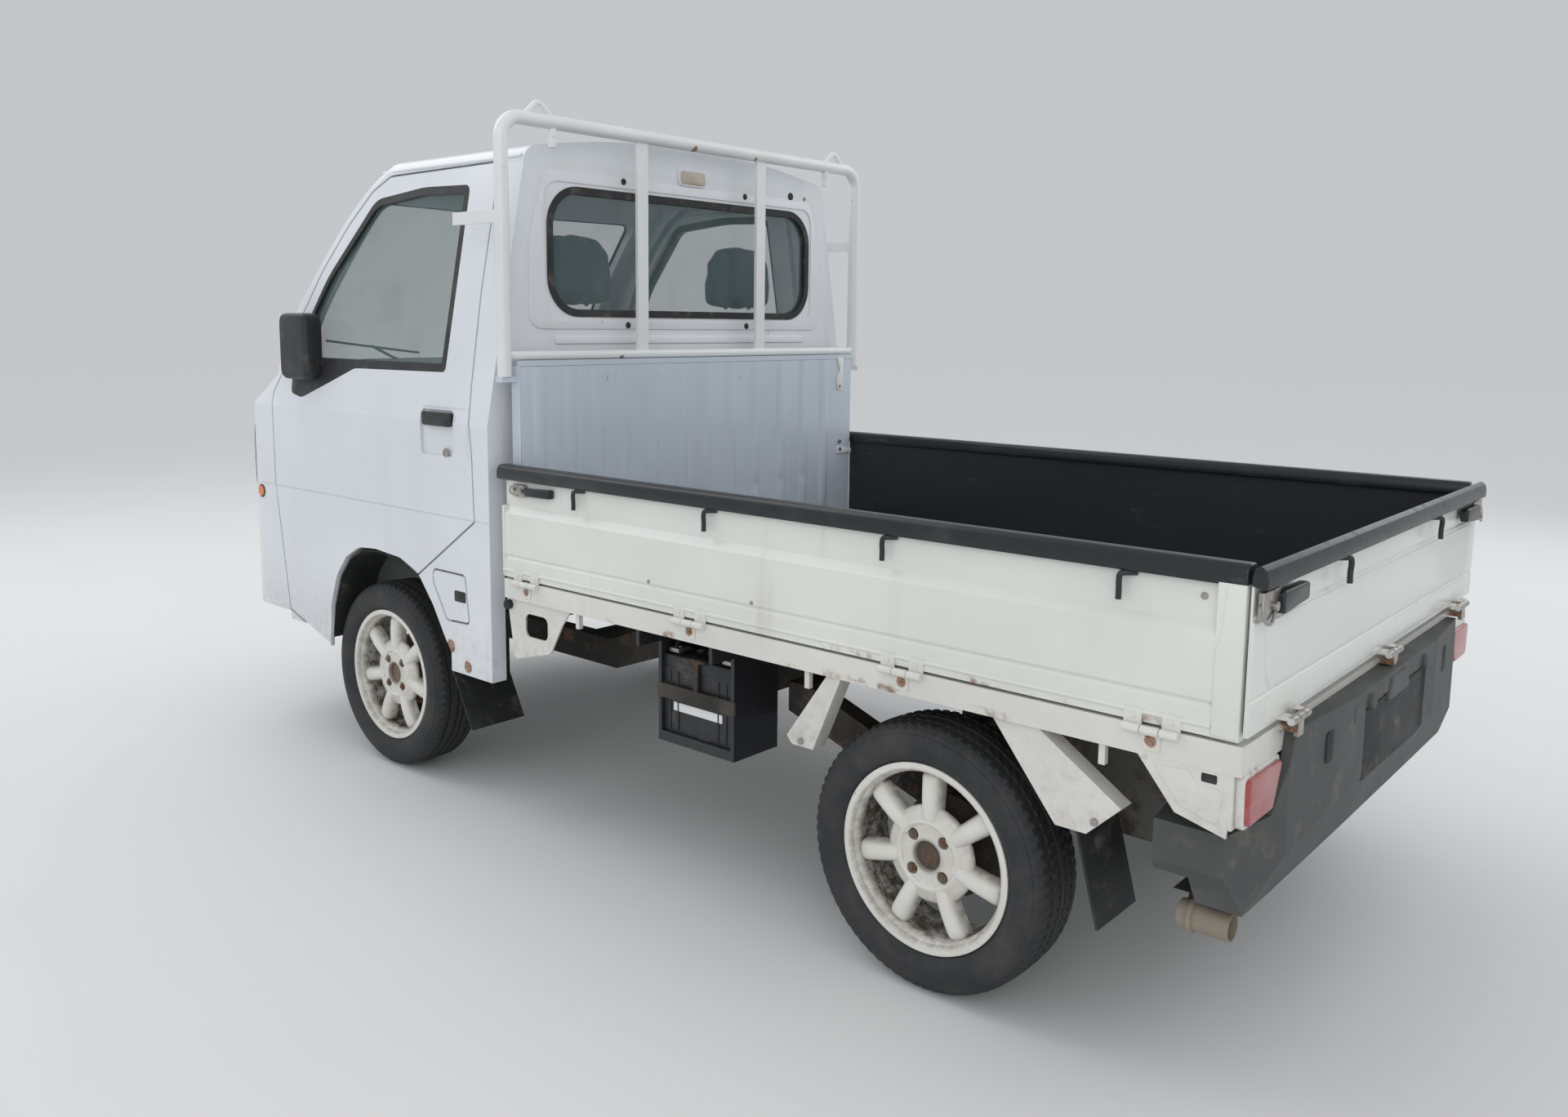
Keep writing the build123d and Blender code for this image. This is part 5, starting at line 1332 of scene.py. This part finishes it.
class TRUCK_OT_front(TruckPieces, bpy.types.Operator):
    """Adds the lamp bowls and bezels, the grille, the lower intake, the wipers and the glass seal"""
    bl_idname = "truck.front"
    bl_label = "Front"

    def execute(self, context):
        low, high = [], []
        for z, path in ((0.7655, low), (0.9675, high)):
            path += [nose(y, z, 0.0005) for y in (0.385, 0.45, 0.52, 0.59, 0.63, 0.665, 0.69, 0.702)]
        bezel = wire("bezel", low + high[::-1], 0.0052, closed=True)
        pair(bezel, "lamp_bezel", ROOTS, "trim", "trim_black")
        bowl = thicken(grid("bowl", 44, 34, bowl_point), (-0.003, 0, 0))
        pair(bowl, "lamp_bowl", ROOTS, "bright", "lamp_clear", 60)
        amber = thicken(grid("corner", 20, 12, corner_point), (-0.002, -0.002, 0))
        pair(amber, "turn_lamp", ROOTS, "amber", "lamp_red", 60)
        x = nose(*BULB).x
        bulb = drum("bulb", "x", *BULB, x - 0.056, x - 0.026, 0.011, 0.004, 24)
        pair(bulb, "lamp_bulb", ROOTS, "beige", "lamp_clear")
        half, z = 0.325, 0.780
        sheet = grid("grille_back", 60, 4, lambda u, v: nose(-half + 2 * half * u, z, -0.03) + Vector(
            (0, 0, 0.008 + 0.092 * v)))
        grille = [thicken(sheet, (-0.003, 0, 0))]
        for blade_z in (0.8, 0.832, 0.864):
            grille.append(wire("blade", across_nose(half, z, -0.010, blade_z - z), 0.0026))
        place(join("grille", grille), "root", "trim", "trim_black")
        intake = [nose_plate("intake", 0, 0.30, 0.535, 0.062, 0.0012)]
        intake += [wire("slat", across_nose(0.29, z, 0.003), 0.0042) for z in (0.49, 0.52, 0.55, 0.58)]
        intake += [nose_plate("blank", y, 0.062, 0.525, 0.045, 0.0015) for y in (-0.50, 0.50)]
        place(join("lower_intake", intake), "root", "trim", "trim_black")
        line = rounded(((-0.589, 1.164), (0.589, 1.164), (0.516, 1.664), (-0.516, 1.664)), 0.054, 4)
        middle = [((a[0] + b[0]) / 2, (a[1] + b[1]) / 2) for a, b in zip(line, line[1:] + line[:1])]
        path = [nose(y, z, 0.001) for both in zip(line, middle) for y, z in both]
        place(wire("seal", path, 0.0075, closed=True), "root", "rubber", "rubber_black")
        wipers = []
        for foot, tip in ((0.10, 0.50), (-0.42, -0.02)):
            start, end = nose(foot, 1.135, 0.010), nose((foot + tip) / 2, 1.215, 0.016)
            wipers.append(drum("foot", "x", foot, 1.135, start.x - 0.014, start.x + 0.002, 0.014, 0.003, 24))
            wipers.append(wire("arm", (start, start.lerp(end, 0.35) + Vector((0.012, 0, 0)),
                                       start.lerp(end, 0.8) + Vector((0.008, 0, 0)), end), 0.0048))
            path = [nose(foot + (tip - foot) * t, 1.190 + 0.045 * t, 0.010)
                    for t in (0, 0.2, 0.4, 0.6, 0.8, 1)]
            wipers.append(wire("blade", path, 0.0042))
        place(join("wipers", wipers), "root", "trim", "trim_black")
        return {"FINISHED"}


SWELL_PRESSURE = 4
SWELL_FRAMES = 20
CHANNEL, CHANNEL_DEPTH = 0.0065, 0.006
# The sewn channels across a seat's middle run between these places in y
SEAT_SIDES = (0.20, 0.49)


def swell(piece, voxel, reach):
    """Blows a closed shape up like a stuffed pad, no point further than reach."""
    modify(piece, "REMESH", mode="VOXEL", voxel_size=voxel)
    start = [vertex.co.copy() for vertex in piece.data.vertices]
    pick(piece)
    skin_sim = piece.modifiers.new("cloth", "CLOTH")
    skin_sim.settings.use_pressure = True
    skin_sim.settings.uniform_pressure_force = SWELL_PRESSURE
    skin_sim.settings.effector_weights.gravity = 0
    for moment in range(1, SWELL_FRAMES + 1):
        bpy.context.scene.frame_set(moment)
    bpy.ops.object.modifier_apply(modifier=skin_sim.name)
    bpy.context.scene.frame_set(1)
    for vertex, old in zip(piece.data.vertices, start):
        move = vertex.co - old
        if move.length > reach:
            vertex.co = old + move * (reach / move.length)
    return modify(piece, "SMOOTH", factor=0.5, iterations=14)


def between(co):
    """Whether a point of a seat lies between its side channels."""
    return SEAT_SIDES[0] < co.y < SEAT_SIDES[1]


def stitch(piece, side_rule, axis, places, rule):
    """Presses the side channels and those across an axis, each where its rule says."""
    lines = [("y", y, side_rule) for y in SEAT_SIDES] + [(axis, spot, rule) for spot in places]
    normals = [vertex.normal.copy() for vertex in piece.data.vertices]
    for vertex, normal in zip(piece.data.vertices, normals):
        press = 0
        for name, spot, where in lines:
            if where(vertex.co):
                press = max(press, math.exp(-((getattr(vertex.co, name) - spot) / CHANNEL) ** 2))
        vertex.co -= normal * (CHANNEL_DEPTH * press)


class TRUCK_OT_seats(TruckPieces, bpy.types.Operator):
    """Adds two seats with stuffed cushions, backs and headrests"""
    bl_idname = "truck.seats"
    bl_label = "Seats"

    def execute(self, context):
        sizes = context.scene.truck_seats
        outline = rounded(((0.440, 0.724), (0.950, 0.724), (0.950, 0.812), (0.860, 0.822), (0.440, 0.805)),
                          0.03, 5)
        cushion = slab("seat_cushion", outline, "y", 0.127, 0.563, 0.024, 4)
        swell(cushion, sizes.voxel, sizes.swell)
        for vertex in cushion.data.vertices:
            vertex.co.z = max(vertex.co.z, 0.7135)
        stitch(cushion, lambda co: co.z > 0.77, "x", (0.56, 0.65, 0.74, 0.83),
               lambda co: co.z > 0.77 and between(co))
        outline = rounded(((0.142, 0.835), (0.548, 0.835), (0.548, 1.16), (0.500, 1.350), (0.190, 1.350),
                           (0.142, 1.16)), 0.04, 6)
        back = slab("seat_back", outline, "x", 0, 1)
        for vertex in back.data.vertices:
            rise = (vertex.co.z - 0.815) / 0.57
            near, far = (0.407 - 0.010 * rise, 0.508 - 0.048 * rise)
            vertex.co.x = near + (far - near) * vertex.co.x
        soften(back, 0.024, 4, 60)
        swell(back, sizes.voxel, sizes.swell)
        stitch(back, lambda co: co.x > 0.44, "z", (0.95, 1.05, 1.15, 1.25),
               lambda co: co.x > 0.44 and between(co))
        outline = rounded(((0.215, 1.362), (0.345, 1.346), (0.475, 1.362), (0.480, 1.430), (0.468, 1.500),
                           (0.430, 1.540), (0.345, 1.552), (0.260, 1.540), (0.222, 1.500), (0.210, 1.430)),
                          0.022, 4)
        head = slab("seat_headrest", outline, "x", 0.394, 0.461, 0.022, 4)
        swell(head, sizes.voxel * 0.75, sizes.swell * 0.8)
        for pad, fill in ((cushion, 0.6), (back, 0.6), (head, 0.8)):
            for made in pair(pad, pad.name, ROOTS, "cloth", "seat_cloth", 50):
                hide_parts("seats")
        posts = [drum("post", "z", 0.428, y, 1.35, 1.43, 0.006, 0.001, 16) for y in (0.290, 0.400)]
        pair(join("headrest_posts", posts), "headrest_posts", ROOTS, "steel", "rusty_steel")
        return {"FINISHED"}


class TRUCK_OT_cabin(TruckPieces, bpy.types.Operator):
    """Adds the inner mirror, the gauges' hood, the air vents and the levers"""
    bl_idname = "truck.cabin"
    bl_label = "Cabin"

    def execute(self, context):
        path = ((1.180, 0.02, 1.60), (1.172, 0.02, 1.625), (1.150, 0.02, 1.65), (1.125, 0.02, 1.675))
        mirror = [slab("mirror", oblong(0.02, 1.585, 0.105, 0.030, 0.022, 6), "x", 1.170, 1.188, 0.004, 3),
                  wire("stem", path, 0.006)]
        place(join("inner_mirror", mirror), "root", "trim", "trim_black")
        top = skin(("dash",), (1.20, -0.33, 1.6), (0, 0, -1)).z
        outline = rounded(((1.14, top - 0.02), (1.29, top - 0.02), (1.27, top + 0.03), (1.17, top + 0.058)),
                          0.014, 5)
        hood = slab("hood", outline, "y", -0.475, -0.185, 0.012, 4)
        face = skin(("dash",), (0.9, 0.05, 1.02), (1, 0, 0)).x
        middles = (0.075, -0.07)
        vents = [slab("vent", oblong(y, 1.035, 0.062, 0.026, 0.008), "x", face - 0.004, face + 0.004, 0.002)
                 for y in middles]
        vents += [block("blade", (face - 0.0062, y - 0.054, z - 0.002),
                        (face - 0.002, y + 0.054, z + 0.002), 0.0006)
                  for y in middles for z in (1.02, 1.03, 1.04, 1.05)]
        place(join("dash_fittings", [hood] + vents), "root", "trim", "dash_grey")
        path = ((1.10, 0.02, 0.70), (1.08, 0.02, 0.78), (1.05, 0.02, 0.86), (1.04, 0.02, 0.92))
        lever = [wire("lever", path, 0.007),
                 drum("knob", "z", 1.04, 0.02, 0.905, 0.955, 0.020, 0.009, 28),
                 drum("gaiter", "z", 1.10, 0.02, 0.700, 0.735, 0.045, 0.014, 28),
                 block("brake_grip", (0.60, -0.022, 0.765), (0.80, 0.012, 0.795), 0.012, 4),
                 block("brake_foot", (0.56, -0.022, 0.700), (0.64, 0.012, 0.785), 0.012, 4)]
        place(join("levers", lever), "root", "trim", "trim_black")
        outline = rounded(((-0.075, -0.045), (0.075, -0.045), (0.060, 0.035), (-0.060, 0.035)), 0.02, 5)
        boss = slab("boss", outline, "z", -0.014, 0.014, 0.009, 3)
        boss.rotation_euler = (0, 0, math.pi / 2)
        settle(boss, "boss")
        boss.rotation_euler = (0, math.radians(-52), 0)
        boss.location = Vector((1.035, -0.330, 1.110)) + Vector((-0.788, 0, 0.6157)) * 0.012
        place(settle(boss, "wheel_boss"), "steering_wheel", "trim", "trim_black")
        return {"FINISHED"}


SETTINGS = {
    "truck_stage": StageSettings, "truck_paint": PaintSettings, "truck_wheels": WheelSettings,
    "truck_seats": SeatSettings,
}
OPERATORS = (
    TRUCK_OT_finishes, TRUCK_OT_stage, TRUCK_OT_tyres, TRUCK_OT_rims, TRUCK_OT_rails, TRUCK_OT_hinges,
    TRUCK_OT_gates, TRUCK_OT_doors, TRUCK_OT_cab_back, TRUCK_OT_tail, TRUCK_OT_underside, TRUCK_OT_front,
    TRUCK_OT_seats, TRUCK_OT_cabin,
)


class TRUCK_PT_panel(bpy.types.Panel):
    """Lists the truck's operators in the sidebar"""
    bl_idname = "TRUCK_PT_panel"
    bl_label = "Kei truck"
    bl_space_type = "VIEW_3D"
    bl_region_type = "UI"
    bl_category = "Kei truck"

    def draw(self, context):
        for group in SETTINGS:
            settings = getattr(context.scene, group)
            for name in settings.__annotations__:
                self.layout.prop(settings, name)
        for operator in OPERATORS:
            self.layout.operator(operator.bl_idname)


CLASSES = (*SETTINGS.values(), *OPERATORS, TRUCK_PT_panel)


def register():
    for thing in CLASSES:
        bpy.utils.register_class(thing)
    for group, settings in SETTINGS.items():
        setattr(bpy.types.Scene, group, bpy.props.PointerProperty(type=settings))


def unregister():
    for group in SETTINGS:
        delattr(bpy.types.Scene, group)
    for thing in reversed(CLASSES):
        bpy.utils.unregister_class(thing)


def main():
    """Builds the whole scene."""
    register()
    bpy.ops.truck.finishes()
    bpy.ops.truck.stage()
    bpy.ops.truck.tyres()
    bpy.ops.truck.rims()
    bpy.ops.truck.rails()
    bpy.ops.truck.hinges()
    bpy.ops.truck.gates()
    bpy.ops.truck.doors()
    bpy.ops.truck.cab_back()
    bpy.ops.truck.tail()
    bpy.ops.truck.underside()
    bpy.ops.truck.front()
    bpy.ops.truck.seats()
    bpy.ops.truck.cabin()


if __name__ == "__main__":
    main()
